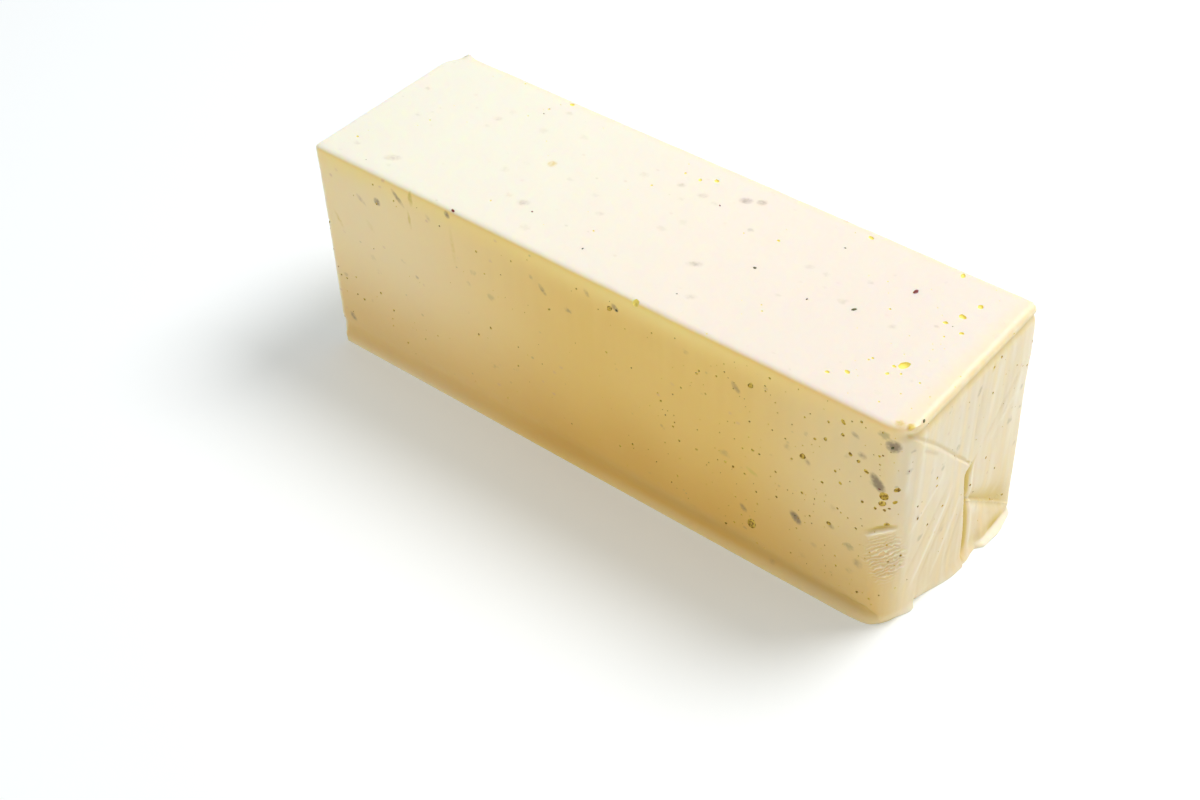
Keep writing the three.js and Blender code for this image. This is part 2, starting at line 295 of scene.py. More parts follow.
def near_rounds(along, across, height):
    """Bands along the edges, the foot, and the whole folded end."""
    on_side = abs(across) > HALF.y - 0.01
    at_foot = on_side and height < 11
    on_top = height > BLOCK.z - 0.01
    top_edge = on_side and height > BLOCK.z - 5 or on_top and abs(across) > HALF.y - 5
    cut_edges = along < 5 - HALF.x
    folded_end = along > HALF.x - 12 and height > 0.01
    return at_foot or top_edge or cut_edges or folded_end


def near_tight_rounds(along, across, height):
    """Bands that turn more tightly, and the folded end's creases."""
    on_side = abs(across) > HALF.y - 0.01
    on_top = height > BLOCK.z - 0.01
    top_edge = on_side and height > BLOCK.z - 3.2 or on_top and abs(across) > HALF.y - 3.2
    cut_edge = along < 2.2 - HALF.x and along > 0.01 - HALF.x
    cut_rim = along < 0.01 - HALF.x and (abs(across) > HALF.y - 2.2 or height > BLOCK.z - 2.2)
    on_end = along > HALF.x - 0.01
    low_folds = on_end and height < 60 - across and height < 60
    end_rim = on_end and (height > BLOCK.z - 9 or abs(across) > HALF.y - 4)
    front_corner = along > HALF.x - 12 and across < 0.01 - HALF.y
    top_corner = on_top and along > HALF.x - 4
    return top_edge or cut_edge or cut_rim or low_folds or end_rim or front_corner or top_corner


def near_creases(along, across, height):
    """Narrow bands along the sharpest creases, and the rippled patch."""
    on_end = along > HALF.x - 0.01
    diagonal = abs(KNOT_UP + KNOT_ACROSS - across - height)
    on_diagonal = on_end and across < KNOT_ACROSS + 2 and diagonal < 3.5
    on_flap_edge = on_end and -5 < across - KNOT_ACROSS < 7 and height < KNOT_UP + 3
    on_foot = on_end and height < 9
    corner = round_corner_length(along, across)
    on_ripples = height > 0.01 and height < BLOCK.z - 0.01 and (
        abs(corner - RIPPLES_AT.x) < 13 and abs(height - RIPPLES_AT.y) < 17
    )
    return on_diagonal or on_flap_edge or on_foot or on_ripples


bm = block_cells()
for zone in (near_rounds, near_tight_rounds, near_creases):
    cut_finer(bm, zone)
bmesh.ops.scale(bm, verts=bm.verts, vec=(MM, MM, MM))
block = bpy.data.meshes.new("block")
bm.to_mesh(block)
bm.free()
loaf = new_piece("cheese", block)

# %% [markdown]
# ## From the block to the loaf
#
# A mould gives a loaf its soft edges, and its own weight and the liner do the rest. The foot
# slumps out into a lip, each corner leans a little, and the end keeps the parcel folds of the
# film: a flap that lies over the end up to an upright edge, a diagonal crease that meets it
# at a knot, and a sunk panel beyond it. The formulas are those of the solid model, with
# narrower creases and a tighter top edge than its coarser faces can hold. The recipe keeps
# each point's place on the true block, so that later recipes can find their way.

# %% Sizes of the loaf's shape
SHAPE = {
    "Half length": HALF.x,
    "Half width": HALF.y,
    "Half height": HALF.z,
    "Long edge round": 2.5,
    "Bottom round": 1,
    "Cut round": 1.5,
    "Cut foot round": 7,
    "Fold top round": 3,
    "Fold front round": 10,
    "Fold back round": 3.5,
    "Foot height": 5,
    "Foot proud": 1.3,
    "Foot valley": 0.8,
    "Wave depth": 0.3,
    "Flap rise": 1.2,
    "Flap rise at corner": 0.4,
    "Flap edge width": 0.8,
    "Crease depth": 0.35,
    "Crease width": 0.65,
    "Groove depth": 1.2,
    "Groove width": 1.5,
    "Far panel sunk": 0.5,
    "Slant depth": 1.5,
    "Pocket depth": 1,
    "Hem proud": 3.4,
    "Far foot proud": 1.2,
    "Near foot swell": 3.2,
    "Tongue proud": 2.4,
    "Notch depth": 0.5,
    "Chip depth": 5,
}

# %% Rounded edges
def round_pair(first, second, half_first, half_second, radius):
    """Pulls a square corner onto a round one, in the plane of two axes."""
    inner_first = half_first - radius
    inner_second = half_second - radius
    base_first = clamp(first, inner_first * -1, inner_first)
    base_second = clamp(second, inner_second * -1, inner_second)
    over_first = first - base_first
    over_second = second - base_second
    reach = larger(length_of(over_first, over_second), 1e-6)
    pull = larger(abs(over_first), abs(over_second)) / reach
    return base_first + over_first * pull, base_second + over_second * pull


def round_edges(recipe, along, across, up):
    size = recipe.size
    folded = along.math("GREATER_THAN", 0)
    front = across.math("LESS_THAN", 0)
    upper = up.math("GREATER_THAN", 0)
    long_round = lerp(size("Bottom round"), size("Long edge round"), upper)
    across, up = round_pair(across, up, size("Half width"), size("Half height"), long_round)
    fold_side = lerp(size("Fold back round"), size("Fold front round"), front)
    side_round = lerp(size("Cut round"), fold_side, folded)
    along, across = round_pair(along, across, size("Half length"), size("Half width"), side_round)
    fold_end = lerp(size("Bottom round"), size("Fold top round"), upper)
    cut_end = lerp(size("Cut foot round"), size("Cut round"), upper)
    end_round = lerp(cut_end, fold_end, folded)
    along, up = round_pair(along, up, size("Half length"), size("Half height"), end_round)
    return along, across, up

# %% Leaning corners
LEANS = {
    ("cut", "front", "top"): (0, -0.3, -0.4),
    ("cut", "back", "top"): (-1.5, -0.3, 0.9),
    ("folded", "front", "top"): (1.2, 0.4, -0.6),
    ("folded", "back", "top"): (-1.2, 0.3, 0.6),
    ("cut", "front", "foot"): (-0.2, 2.4, 0),
    ("cut", "back", "foot"): (0.6, -1.6, 0),
    ("folded", "front", "foot"): (-3.2, 3.2, 0),
    ("folded", "back", "foot"): (0.4, -0.8, 0),
}


def lean_corners(along, across, up):
    """Moves a point by the leans of the eight corners, by how near it is to each."""
    shares = {}
    names = (("cut", "folded"), ("front", "back"), ("foot", "top"))
    for place, half, (low_name, high_name) in zip((along, across, up), HALF, names):
        high = (place / half + 1) / 2
        shares[low_name], shares[high_name] = 1 - high, high
    for (end, side, level), lean in LEANS.items():
        share = shares[end] * shares[side] * shares[level]
        along, across, up = (old + share * part for old, part in zip((along, across, up), lean))
    return along, across, up

# %% The sides: foot lip and soft waves
def side_push(recipe, along, height):
    """How far the long sides stand out. The lip ends in a V at the folded corner."""
    size = recipe.size
    to_corner = smoothstep(along, 116, 131)
    lip = size("Foot proud") * (1 - smoothstep(height, 2.4, size("Foot height")))
    valley_at = 8.5 - 2.7 * smoothstep(along, 65, 110) - 3 * smoothstep(along, 124, 133)
    valley = bell(height - valley_at, 3.2 - 1.2 * to_corner)
    wave = (along / 78 * math.pi).math("SINE") * (height / 61 * math.pi).math("COSINE")
    wave = wave * smoothstep(height, 0, size("Foot height"))
    push = (lip - size("Foot valley") * valley) * (1 - 0.6 * to_corner) + size("Wave depth") * wave
    return push, valley

# %% The folded end: the flap
def near_flap(recipe, across, height):
    """The flap that lies over the end, the crease above it and the tongue at its foot."""
    size = recipe.size
    edge_width = size("Flap edge width")
    bow = 1.2 * bell(across + 24, 13)
    diagonal = (KNOT_UP + KNOT_ACROSS + bow - across - height) / math.sqrt(2)
    in_flap = smoothstep(diagonal, 0, edge_width) * (0.4 + 0.6 * smoothstep(diagonal, 0, 14))
    edge_at = 4.9 - 4.1 * smoothstep(height, 8, 46) + 3.4 * bell(height - KNOT_UP + 0.6, 1.9)
    past_edge = smoothstep(across - edge_at, edge_width * -0.5, edge_width * 0.5)
    before_edge = 1 - past_edge
    to_edge = smoothstep(across, -HALF.y, KNOT_ACROSS)
    rise = lerp(size("Flap rise at corner"), size("Flap rise"), to_edge)
    rise = rise + 0.5 * bell(length_of(across - edge_at, height - KNOT_UP), 2.6)
    crease = size("Crease depth") * bell(diagonal + 0.2, size("Crease width")) * before_edge
    swell = size("Near foot swell") * (smoothstep(across, -22, 0) - 0.5) * before_edge
    tongue_starts = smoothstep(across, -35, -26)
    tongue_ends = 1 - smoothstep(across, -25.2, -23.6)
    tongue = size("Tongue proud") * tongue_starts * tongue_ends
    notch = size("Notch depth") * bell(across + 21.8, 1.5)
    foot = (swell + tongue - notch) * (1 - smoothstep(height, 0, 6))
    relief = rise * in_flap * before_edge - crease + foot
    # Where the crease gets painted shade, and the tongue a painted highlight
    hollow = 0.4 * bell(diagonal + 0.5, 0.6) * before_edge * smoothstep(across, -40, -30)
    on_tongue = tongue_starts * tongue_ends * (1 - smoothstep(height, 2, 6))
    return relief, hollow, on_tongue, edge_at, past_edge

# %% The folded end: the panel beyond the flap
def far_panel(recipe, across, height, edge_at, past_edge):
    """The panel beyond the flap's edge, with a slanted crease, a pocket and a hem."""
    size = recipe.size
    far_diagonal = KNOT_UP + 0.6 * (across - KNOT_ACROSS) - height
    sunk = size("Far panel sunk") * smoothstep(far_diagonal, -4, 12) * past_edge
    from_edge = across - edge_at
    groove_ends = smoothstep(height, 1, 8) * smoothstep(KNOT_UP - height, 2, 5)
    groove = bell(from_edge - 1.1 * size("Groove width"), size("Groove width")) * groove_ends
    ridge = 0.4 * bell(from_edge - 6.4, 1) * groove_ends
    before_corner = 1 - smoothstep(across, 30, HALF.y)
    from_slant = height - (29.6 - 0.74 * (across - 8))
    slant_under = 0.6 * bell(from_slant, 2.6) * (1 - smoothstep(from_slant, -1, 0.2))
    slant_over = bell(from_slant / (1 + 0.15 * across), 1.6) * smoothstep(from_slant, -0.6, 0.6)
    slant = larger(slant_under, slant_over) * past_edge * before_corner
    pocket = bell(across - 32, 9) * smoothstep(across, 21, 25)
    pocket_floor = pocket * bell(height - 3.4, 1.3)
    hem = smoothstep(across, 15.5, 19.5) * (1 - 0.8 * smoothstep(across, 27, HALF.y))
    hem_height = 0.38 * (1 - smoothstep(height, 2, 13)) + 0.62 * (1 - smoothstep(height, 1, 2.4))
    hem = size("Hem proud") * hem * hem_height
    far_foot = 1 + 1.2 * bell(across - 7.5, 5)
    far_foot = size("Far foot proud") * far_foot * (1 - smoothstep(across, 16, 19)) * past_edge
    far_foot = far_foot * (1 - smoothstep(height, 0, 5))
    relief = (hem + far_foot + ridge - sunk - size("Groove depth") * groove
              - size("Slant depth") * slant - size("Pocket depth") * pocket_floor)
    # Where the groove, the slant and the pocket get painted shade, and the rim, the hem and a facet
    # painted highlights
    seen_groove = smoothstep(from_edge, 0.2, 1) * (1 - smoothstep(from_edge, 4.2, 5.6))
    seen_groove = seen_groove * groove_ends
    by_knot = bell(length_of(from_edge - 4.6, (height - 46.5) / 2), 1.6)
    low_groove = 0.6 * bell(from_edge - 1.4, 0.7)
    low_groove = low_groove * (1 - smoothstep(height, 7, 12)) * smoothstep(height, 0, 3)
    in_pocket = bell(across - 29, 8) * smoothstep(height, 2.4, 3.2)
    in_pocket = in_pocket * (1 - smoothstep(height, 4.6, 9.5))
    in_groove = larger(larger(seen_groove, low_groove), by_knot)
    hollow = larger(in_groove, larger(0.75 * slant, in_pocket))
    rim = 0.7 * bell(from_edge - 6.4, 0.9) * groove_ends
    on_hem = smoothstep(across, 15, 20) * (1 - smoothstep(height, 2.2, 3.4))
    facet = 0.6 * bell(from_slant + 3.5, 2.5) * bell(across - 13, 5)
    return relief, hollow, larger(larger(rim, on_hem), facet) * past_edge


def end_push(recipe, across, height):
    """How far the folded end stands out, and its hollows and crests, for painted shade and
    highlights.
    """
    flap, in_crease, on_tongue, edge_at, past_edge = near_flap(recipe, across, height)
    panel, in_panel, crest = far_panel(recipe, across, height, edge_at, past_edge)
    top_groove = bell(height - BLOCK.z + 4.5, 1.6)
    hollow = larger(larger(in_crease, in_panel), 0.45 * top_groove)
    return flap + panel - 0.9 * top_groove, hollow, larger(crest, 0.6 * on_tongue)

# %% The recipe that bends the block
BLOCK_PLACE = "block_place"
HOLLOW = "hollow"
CREST = "crest"
VALLEY = "foot_valley"
MIDDLE = Vector((0.666, 0.0885))  # the origin lies under the middle of the bent block

shape = Recipe("loaf_shape", SHAPE)
block_place = shape.place_mm()
shape.keep(BLOCK_PLACE, block_place, "FLOAT_VECTOR")
along, across, up = split(shape.tree, shape.read(BLOCK_PLACE, "FLOAT_VECTOR"))
block_height = up + HALF.z
along, across, up = round_edges(shape, along, across, up)
height = up + HALF.z
on_side = smoothstep(abs(across), HALF.y - 6, HALF.y - 1)
on_folds = smoothstep(along, HALF.x - 7, HALF.x - 1)
side_relief, valley = side_push(shape, along, height)
side = across.math("SIGN") * on_side * side_relief
end, hollow, crest = end_push(shape, across, height)
along, across, up = lean_corners(along, across, up)
across = across + side
along = along + on_folds * end

# The knife broke a chip from the back corner of the cut end, and left a nib beside it.
chip = smoothstep(across, 30, HALF.y) * smoothstep(block_height, 81, BLOCK.z)
chip = chip * smoothstep(along * -1, HALF.x - 5, HALF.x)
along = along + shape.size("Chip depth") * chip
nib = bell(along + 130, 2.4) * bell(across - 40, 2.4) * smoothstep(block_height, 93.5, BLOCK.z)
height = (up + HALF.z + nib) * block_height.math("GREATER_THAN", 0.001)
# Kept for the skin: shade is painted in hollows and in the foot valley, highlights on crests
shape.keep(HOLLOW, hollow * on_folds)
shape.keep(CREST, crest * on_folds)
past_corner = smoothstep(along + across * 0.9, HALF.x - 41, HALF.x - 38.5)
shape.keep(VALLEY, valley * on_side * (1 - past_corner))
shape.move_to_mm(join(shape.tree, along - MIDDLE.x, across - MIDDLE.y, height))
shape.finish()
run(shape, loaf)

# %% [markdown]
# ## Marks of the liner
#
# Film never lies quite flat. Where it was pulled tight over the flap it left long faint
# lines, and where it bunched up at the front corner it pressed a patch of fine ripples with
# an arched crease over it. A bump texture could fake such marks, but only real relief shades
# its neighbours and shows along the outline. It is less than a millimetre deep, so the recipe
# pushes points along the surface's own direction.

# %% Lines from one point to another
def along_line(first, second, start, end):
    """Distance from the straight line between two places, and the share of the way along."""
    reach = Vector(end) - Vector(start)
    from_first, from_second = first - start[0], second - start[1]
    share = (from_first * reach.x + from_second * reach.y) / reach.length_squared
    share = clamp(share, 0, 1)
    gap = length_of(from_first - share * reach.x, from_second - share * reach.y)
    return gap, share


def along_path(first, second, points):
    """Distance from a bent line through several places."""
    gaps = [along_line(first, second, start, end)[0] for start, end in zip(points, points[1:])]
    nearest = gaps[0]
    for gap in gaps[1:]:
        nearest = nearest.math("MINIMUM", gap)
    return nearest


# Across and height of both ends, then width and depth. A negative depth is a raised line.
FLAP_LINES = (
    ((-7, 53), (-31, 11), 0.9, -0.28),
    ((-4, 50), (-26, 10), 0.7, 0.22),
    ((-10, 55), (-35, 20), 1.0, 0.2),
    ((-1, 44), (-17, 8), 0.8, -0.2),
    ((1, 36), (-9, 6), 0.7, 0.16),
    ((-14, 62), (-36, 44), 0.8, -0.18),
    ((-33, 84), (-20, 72), 0.6, 0.3),
    ((-38, 88), (-38, 62), 1.2, -0.2),
    ((7, 86), (5, 56), 0.7, 0.3),
    ((18, 92), (12, 60), 1.4, -0.16),
    ((10, 52), (38, 78), 0.9, 0.25),
    ((16, 50), (36, 66), 0.8, -0.15),
    ((26, 88), (20, 34), 1.6, 0.18),
    ((34, 84), (31, 26), 1.2, -0.16),
)

# %% The recipe for the liner's marks
MARKS = {
    "Ripple depth": 0.48,
    "Ripple spacing": 1.9,
    "Arch depth": 0.8,
    "Arch rim": 0.5,
    "Wedge depth": 0.4,
    "Line depth": 0.95,
    "Streak depth": 0.09,
    "Unevenness": 0.16,
    "Foot roughness": 0.35,
    "Knife drag": 0.07,
    "Pulled in": 0.08,
}
marks = Recipe("liner_marks", MARKS)
along, across, up = split(marks.tree, marks.read(BLOCK_PLACE, "FLOAT_VECTOR"))
height = up + HALF.z
round_corner = along + across + HALF.y
on_end = smoothstep(along, HALF.x - 3, HALF.x - 0.5) * smoothstep(height, 2, 6)
lines = on_end * 0
for start, end, width, depth in FLAP_LINES:
    gap, share = along_line(across, height, start, end)
    fade = smoothstep(share, 0, 0.25) * (1 - smoothstep(share, 0.7, 1))
    lines = lines - on_end * bell(gap, 1.2 * width) * fade * depth
push = lines * marks.size("Line depth")

# %% Ripples at the front corner
def noise(recipe, size_mm, seed, stretch=(1, 1, 1)):
    """Smooth randomness from -1 to 1, with features of about the given size."""
    place = recipe.read(BLOCK_PLACE, "FLOAT_VECTOR")
    moved = recipe.field(
        "ShaderNodeVectorMath", "Vector", {0: place, 1: stretch, 2: (seed, -seed, 2 * seed)},
        operation="MULTIPLY_ADD",
    )
    feeds = {"Vector": moved, "Scale": 1 / size_mm, "Detail": 2}
    return recipe.field("ShaderNodeTexNoise", "Fac", feeds) * 2 - 1


push = push + noise(marks, 3.4, 37, stretch=(1, 1, 0.05)) * on_end * marks.size("Streak depth")
wander = noise(marks, 5, 11) * 2.4 + noise(marks, 1.8, 13) * 0.7
past_middle = round_corner - RIPPLES_AT.x
ripple_rise = 0.55 * past_middle - 0.03 * past_middle * past_middle
ripple_place = height - ripple_rise + wander
ripple = (ripple_place / marks.size("Ripple spacing") * math.tau).math("SINE")
ripple = ripple * (0.6 + 0.4 * ripple)
patch_far = length_of((past_middle - 1.5) / 11.5, (height - RIPPLES_AT.y - 2) / 15)
in_patch = 1 - smoothstep(patch_far + noise(marks, 4, 23) * 0.25, 0.5, 1)
in_patch = in_patch * (1 - smoothstep(across, -20, -10))
push = push + ripple * in_patch * marks.size("Ripple depth")

# %% The arched crease over the ripples, and the wedge at the foot
# Points along the front, round the corner and on over the end, with their heights.
ARCH = ((122.2, 44.5), (124.5, 46.8), (127.2, 49.2), (130.8, 50.8), (135.5, 51.2))
arch_gap = along_path(round_corner, height, ARCH)
rim_gap = along_path(round_corner, height, [(first + 0.4, second - 1.6) for first, second in ARCH])
arch_fade = bell(round_corner - 128.5, 6) * (1 - smoothstep(across, -20, -10))
arch_rim = bell(rim_gap, 0.8) * arch_fade
push = push - bell(arch_gap, 0.8) * arch_fade * marks.size("Arch depth")
push = push + arch_rim * marks.size("Arch rim")

WEDGE = ((108, 5.8), (119.8, 6.8), (126, 7.6), (132.2, 3.2))
in_wedge = bell(along_path(along, height, WEDGE), 0.6) * smoothstep(along, 104, 120) * (1 - on_end)
in_wedge = in_wedge * (1 - smoothstep(across, 3 - HALF.y, 6 - HALF.y))
push = push - in_wedge * marks.size("Wedge depth")

# %% Unevenness, and the push itself
above_floor = smoothstep(height, 0, 3)
uneven = noise(marks, 26, 3) * 1.4 + noise(marks, 7, 5) * 0.9
push = push + uneven * marks.size("Unevenness") * above_floor
at_lip = smoothstep(height, 0.2, 1.5) * (1 - smoothstep(height, 3, 9))
at_lip = at_lip * smoothstep(abs(across), 41, 41.9)
push = push + noise(marks, 3, 7) * at_lip * marks.size("Foot roughness")
push = push - above_floor * marks.size("Pulled in")
on_cut = 1 - smoothstep(along, 0.3 - HALF.x, 1.5 - HALF.x)
push = push + noise(marks, 4, 43, stretch=(1, 0.1, 1)) * on_cut * marks.size("Knife drag")

normal = marks.field("GeometryNodeInputNormal", "Normal")
marks.move_by(marks.scaled(normal, push * MM))
# The arch and the wedge add to the painted shade of hollows. Ripples, the arch's rim and raised
# lines add to the painted highlights on crests, and grooves add to the painted shade
in_arch = bell(arch_gap, 1) * arch_fade
marks.keep(HOLLOW, larger(larger(marks.read(HOLLOW), in_arch), 0.35 * in_wedge))
marks.keep(CREST, larger(ripple * in_patch, arch_rim * 1.3) + lines * 3 + marks.read(CREST))
marks.finish()
run(marks, loaf)

# %% [markdown]
# ## Air pits
#
# Small bubbles were caught against the film, and left pits with sharp rims: a few wide ones,
# and many pinholes that crowd towards the folded end. Geometry Nodes scatters the pinholes,
# thicker where a density formula says so, and puts a ball at each. The widest pits stand in a
# list. Then all the balls are taken away from the loaf. Pushing points in would leave
# soft dents, while taking a ball away leaves a sharp rim and a wall that can have its own
# finish.

# %% The widest pits, listed
# For each face: the place along the loaf, or across it on an end, the place up, or across on
# the top, and the width, all in mm.
WIDE_PITS = (
    ("front", (
        (76.2, 19.2, 3.2), (95.3, 64.8, 2.1), (127.8, 65.2, 2.9), (127.5, 61.6, 2),
        (132.8, 68.8, 2), (132.5, 63, 1.5), (125.2, 58.2, 1), (130.2, 51.8, 2), (120.2, 72.8, 1.3),
        (116.8, 75.5, 1.2), (113.5, 76.8, 1.3), (109.8, 83.5, 1.1), (109.5, 89.2, 1.4),
        (103.5, 77.8, 1.2), (72.5, 84.8, 1.8), (108, 39.8, 1.6), (11.5, 88, 1.8), (-17.2, 73.2, 1),
        (-54.5, 41.8, 0.9), (23, 96.4, 2.4), (128.6, 58.6, 1.1), (130.4, 59.8, 0.9), (91, 61, 0.9),
        (85, 51, 0.9), (63.5, 43, 0.8), (104, 57.5, 0.9), (111, 61.5, 1),
    )),
    ("end", (
        (-36.8, 35.8, 0.9), (-20, 58, 0.9), (-30, 50, 0.8), (12, 88.5, 1), (-14, 44, 0.8),
    )),
    ("front", (
        (-134, 60.5, 1.8), (-134.2, 57, 1.2), (-133.8, 12, 1.6),
    )),
    ("top", (
        (114.5, -14.2, 2.7), (112.2, -16.6, 1), (119.2, 27.2, 1.9), (117, 19, 1.9),
        (114, 12.8, 1.3), (121.2, 11.2, 1.2), (101.2, -28.2, 1.3), (96, -32.2, 1.1),
        (112.2, -21, 1.1), (43, 16, 1), (3.8, 32, 1.5), (-1.5, 28.8, 1.2), (105.8, 38.2, 1.5),
        (68.5, 37.2, 1.5), (-72, 38.8, 1.6),
    )),
    ("back", (
        (84, 70, 2.2), (52, 33, 2.6), (12, 58, 1.5), (-20, 84, 1.9), (-66, 47, 2.3),
        (-101, 72, 1.6), (108, 52, 1.8), (-8, 22, 1.4),
    )),
)
FACES = {
    "front": lambda first, second: (first, -HALF.y, second - HALF.z),
    "back": lambda first, second: (first, HALF.y, second - HALF.z),
    "top": lambda first, second: (first, second, HALF.z),
    "end": lambda first, second: (HALF.x, first, second - HALF.z),
    "cut": lambda first, second: (-HALF.x, first, second - HALF.z),
}


LISTED_SIZE = "listed_size"


def rows_of(table):
    """The rows of a table, each with its face in front."""
    return [(face, *row) for face, rows in table for row in rows]


def points_on_loaf(name, rows):
    """Loose points where the rows' places on the true block come to lie on the loaf."""
    mesh = bpy.data.meshes.new(name)
    places = [Vector(FACES[face](first, second)) * MM for face, first, second, *_ in rows]
    mesh.from_pydata(places, [], [])
    sizes = mesh.attributes.new(LISTED_SIZE, "FLOAT", "POINT")
    sizes.data.foreach_set("value", [size for _, _, _, size, *_ in rows])
    points = new_piece(name, mesh)
    run(shape, points)
    return points


wide_pits = points_on_loaf("wide_pits", rows_of(WIDE_PITS))

# %% Materials that the recipes name
def bare_material(name):
    material = bpy.data.materials.new(name)
    material.use_nodes = True
    return material


skin = bare_material("cheese_skin")
pit_wall = bare_material("cheese_in_pits")

# %% Balls at the points
def nearest_normal(recipe, thing):
    """The surface direction of a thing, at the point of it nearest to each point."""
    surface = recipe.field("GeometryNodeObjectInfo", "Geometry", {"Object": thing})
    normal = recipe.field("GeometryNodeInputNormal", "Normal")
    node = add_node(recipe.tree, "GeometryNodeSampleNearestSurface", data_type="FLOAT_VECTOR")
    feed(recipe.tree, node.inputs["Mesh"], surface)
    feed(recipe.tree, node.inputs["Value"], normal)
    return Field(recipe.tree, node.outputs["Value"])


def random_value(recipe, low, high, seed):
    share = recipe.field("FunctionNodeRandomValue", "Value", {"Seed": seed}, data_type="FLOAT")
    return share * (high - low) + low


def turned_to(recipe, normal, seed):
    """A turn that stands things on the surface, each turned its own way round."""
    upright = recipe.field("FunctionNodeAlignRotationToVector", "Rotation", {"Vector": normal},
                           axis="Z")
    spin = recipe.field("FunctionNodeAxisAngleToRotation", "Rotation",
                        {"Axis": (0, 0, 1), "Angle": random_value(recipe, 0, math.tau, seed)})
    return recipe.field("FunctionNodeRotateRotation", "Rotation",
                        {"Rotation": upright, "Rotate By": spin}, rotation_space="LOCAL")


def put_balls(recipe, rotation, length, width, depth, detail):
    """A ball at each point, of the length, width and depth in mm that the fields say."""
    ball_1_mm = {"Radius": 0.5 * MM, "Subdivisions": detail}
    feeds = {
        "Instance": recipe.field("GeometryNodeMeshIcoSphere", "Mesh", ball_1_mm),
        "Rotation": rotation,
        "Scale": join(recipe.tree, length, width, depth),
    }
    recipe.step("GeometryNodeInstanceOnPoints", feeds, into="Points", output="Instances")
    recipe.step("GeometryNodeRealizeInstances")


def roughen(recipe, amount_mm, noise_scale):
    """Moves the points about, so that balls turn into uneven lumps."""
    random = recipe.field("ShaderNodeTexNoise", "Color", {"Scale": noise_scale, "Detail": 1})
    about_zero = recipe.field("ShaderNodeVectorMath", "Vector", {0: random, 1: (0.5, 0.5, 0.5)},
                              operation="SUBTRACT")
    recipe.move_by(recipe.scaled(about_zero, amount_mm * 2 * MM))

# %% The recipe for wide pits
wide = Recipe("wide_pit_balls", {"Width share": 1.12, "Depth share": 0.8, "Roughness": 0.34})
wide.step("GeometryNodeMeshToPoints", into="Mesh", output="Points")
rotation = turned_to(wide, nearest_normal(wide, loaf), 4)
width = wide.read(LISTED_SIZE) * wide.size("Width share")
length = width * random_value(wide, 1, 1.5, 6)
put_balls(wide, rotation, length, width, width * wide.size("Depth share"), 3)
roughen(wide, wide.size("Roughness"), 800)
wide.step("GeometryNodeSetMaterial", {"Material": pit_wall})
wide.finish()

# %% The recipe for pinholes
PINHOLES = {
    "Smallest": 0.42,
    "Widest": 1.3,
    "Gap": 1.5,
    "Most in a square metre": 74000,
    "Depth share": 0.9,
}
pinholes = Recipe("pinhole_balls", PINHOLES)
along, across, up = split(pinholes.tree, pinholes.read(BLOCK_PLACE, "FLOAT_VECTOR"))
height = up + HALF.z
on_long_side = smoothstep(abs(across), HALF.y - 0.4, HALF.y - 0.1) * smoothstep(height, 7, 14)
on_long_side = on_long_side * (1 - smoothstep(height, 93, 95.5))
towards_folds = 0.14 + 0.86 * smoothstep(along, -10, 105)
on_top = smoothstep(height, BLOCK.z - 0.4, BLOCK.z - 0.1)
on_end = smoothstep(along, HALF.x - 0.4, HALF.x - 0.1)
clusters = smoothstep(noise(pinholes, 17, 31), -0.5, 0.45)
density = on_long_side * towards_folds * clusters
density = larger(density, on_top * (0.025 + 0.22 * smoothstep(along, 85, 125) * clusters))
density = larger(density, on_end * 0.2 * clusters * smoothstep(height, 8, 16))
density = larger(density, smoothstep(along * -1, HALF.x - 0.4, HALF.x - 0.1) * 0.04)
density = density * smoothstep(height, 0.5, 6)
scatter = {
    "Distance Min": pinholes.size("Gap") * MM,
    "Density Max": pinholes.size("Most in a square metre"),
    "Density Factor": density,
    "Seed": 12,
}
pinholes.step("GeometryNodeDistributePointsOnFaces", scatter, into="Mesh", output="Points",
              distribute_method="POISSON")
wide_points = pinholes.field("GeometryNodeObjectInfo", "Geometry", {"Object": wide_pits})
gap = pinholes.field("GeometryNodeProximity", "Distance", {"Geometry": wide_points},
                     target_element="POINTS")
by_wide_pit = gap.math("LESS_THAN", 3.2 * MM)
pinholes.step("GeometryNodeDeleteGeometry", {"Selection": by_wide_pit}, domain="POINT")
small_share = random_value(pinholes, 0, 1, 8).math("POWER", 3.2)
width = lerp(pinholes.size("Smallest"), pinholes.size("Widest"), small_share)
rotation = turned_to(pinholes, nearest_normal(pinholes, loaf), 5)
length = width * random_value(pinholes, 1, 1.3, 7)
put_balls(pinholes, rotation, length, width, width * pinholes.size("Depth share"), 1)
pinholes.step("GeometryNodeSetMaterial", {"Material": pit_wall})
pinholes.finish()

# %% Take the balls away
def take_away(piece, cutter):
    modifier = piece.modifiers.new("pits", "BOOLEAN")
    modifier.operation = "DIFFERENCE"
    modifier.solver = "MANIFOLD"
    modifier.object = cutter
    modifier.material_mode = "TRANSFER"
    keep_result(piece)


pinhole_balls = new_piece("pinhole_balls", loaf.data.copy())
run(pinholes, pinhole_balls)
loaf.data.materials.append(skin)
run(wide, wide_pits)
take_away(loaf, pinhole_balls)
take_away(loaf, wide_pits)
for cutter in (pinhole_balls, wide_pits):
    bpy.data.objects.remove(cutter)
loaf.data.shade_smooth()
loaf.data.set_sharp_from_angle(angle=math.radians(38))
print("materials", [material.name for material in loaf.data.materials],
      "triangles", sum(len(face.vertices) - 2 for face in loaf.data.polygons))
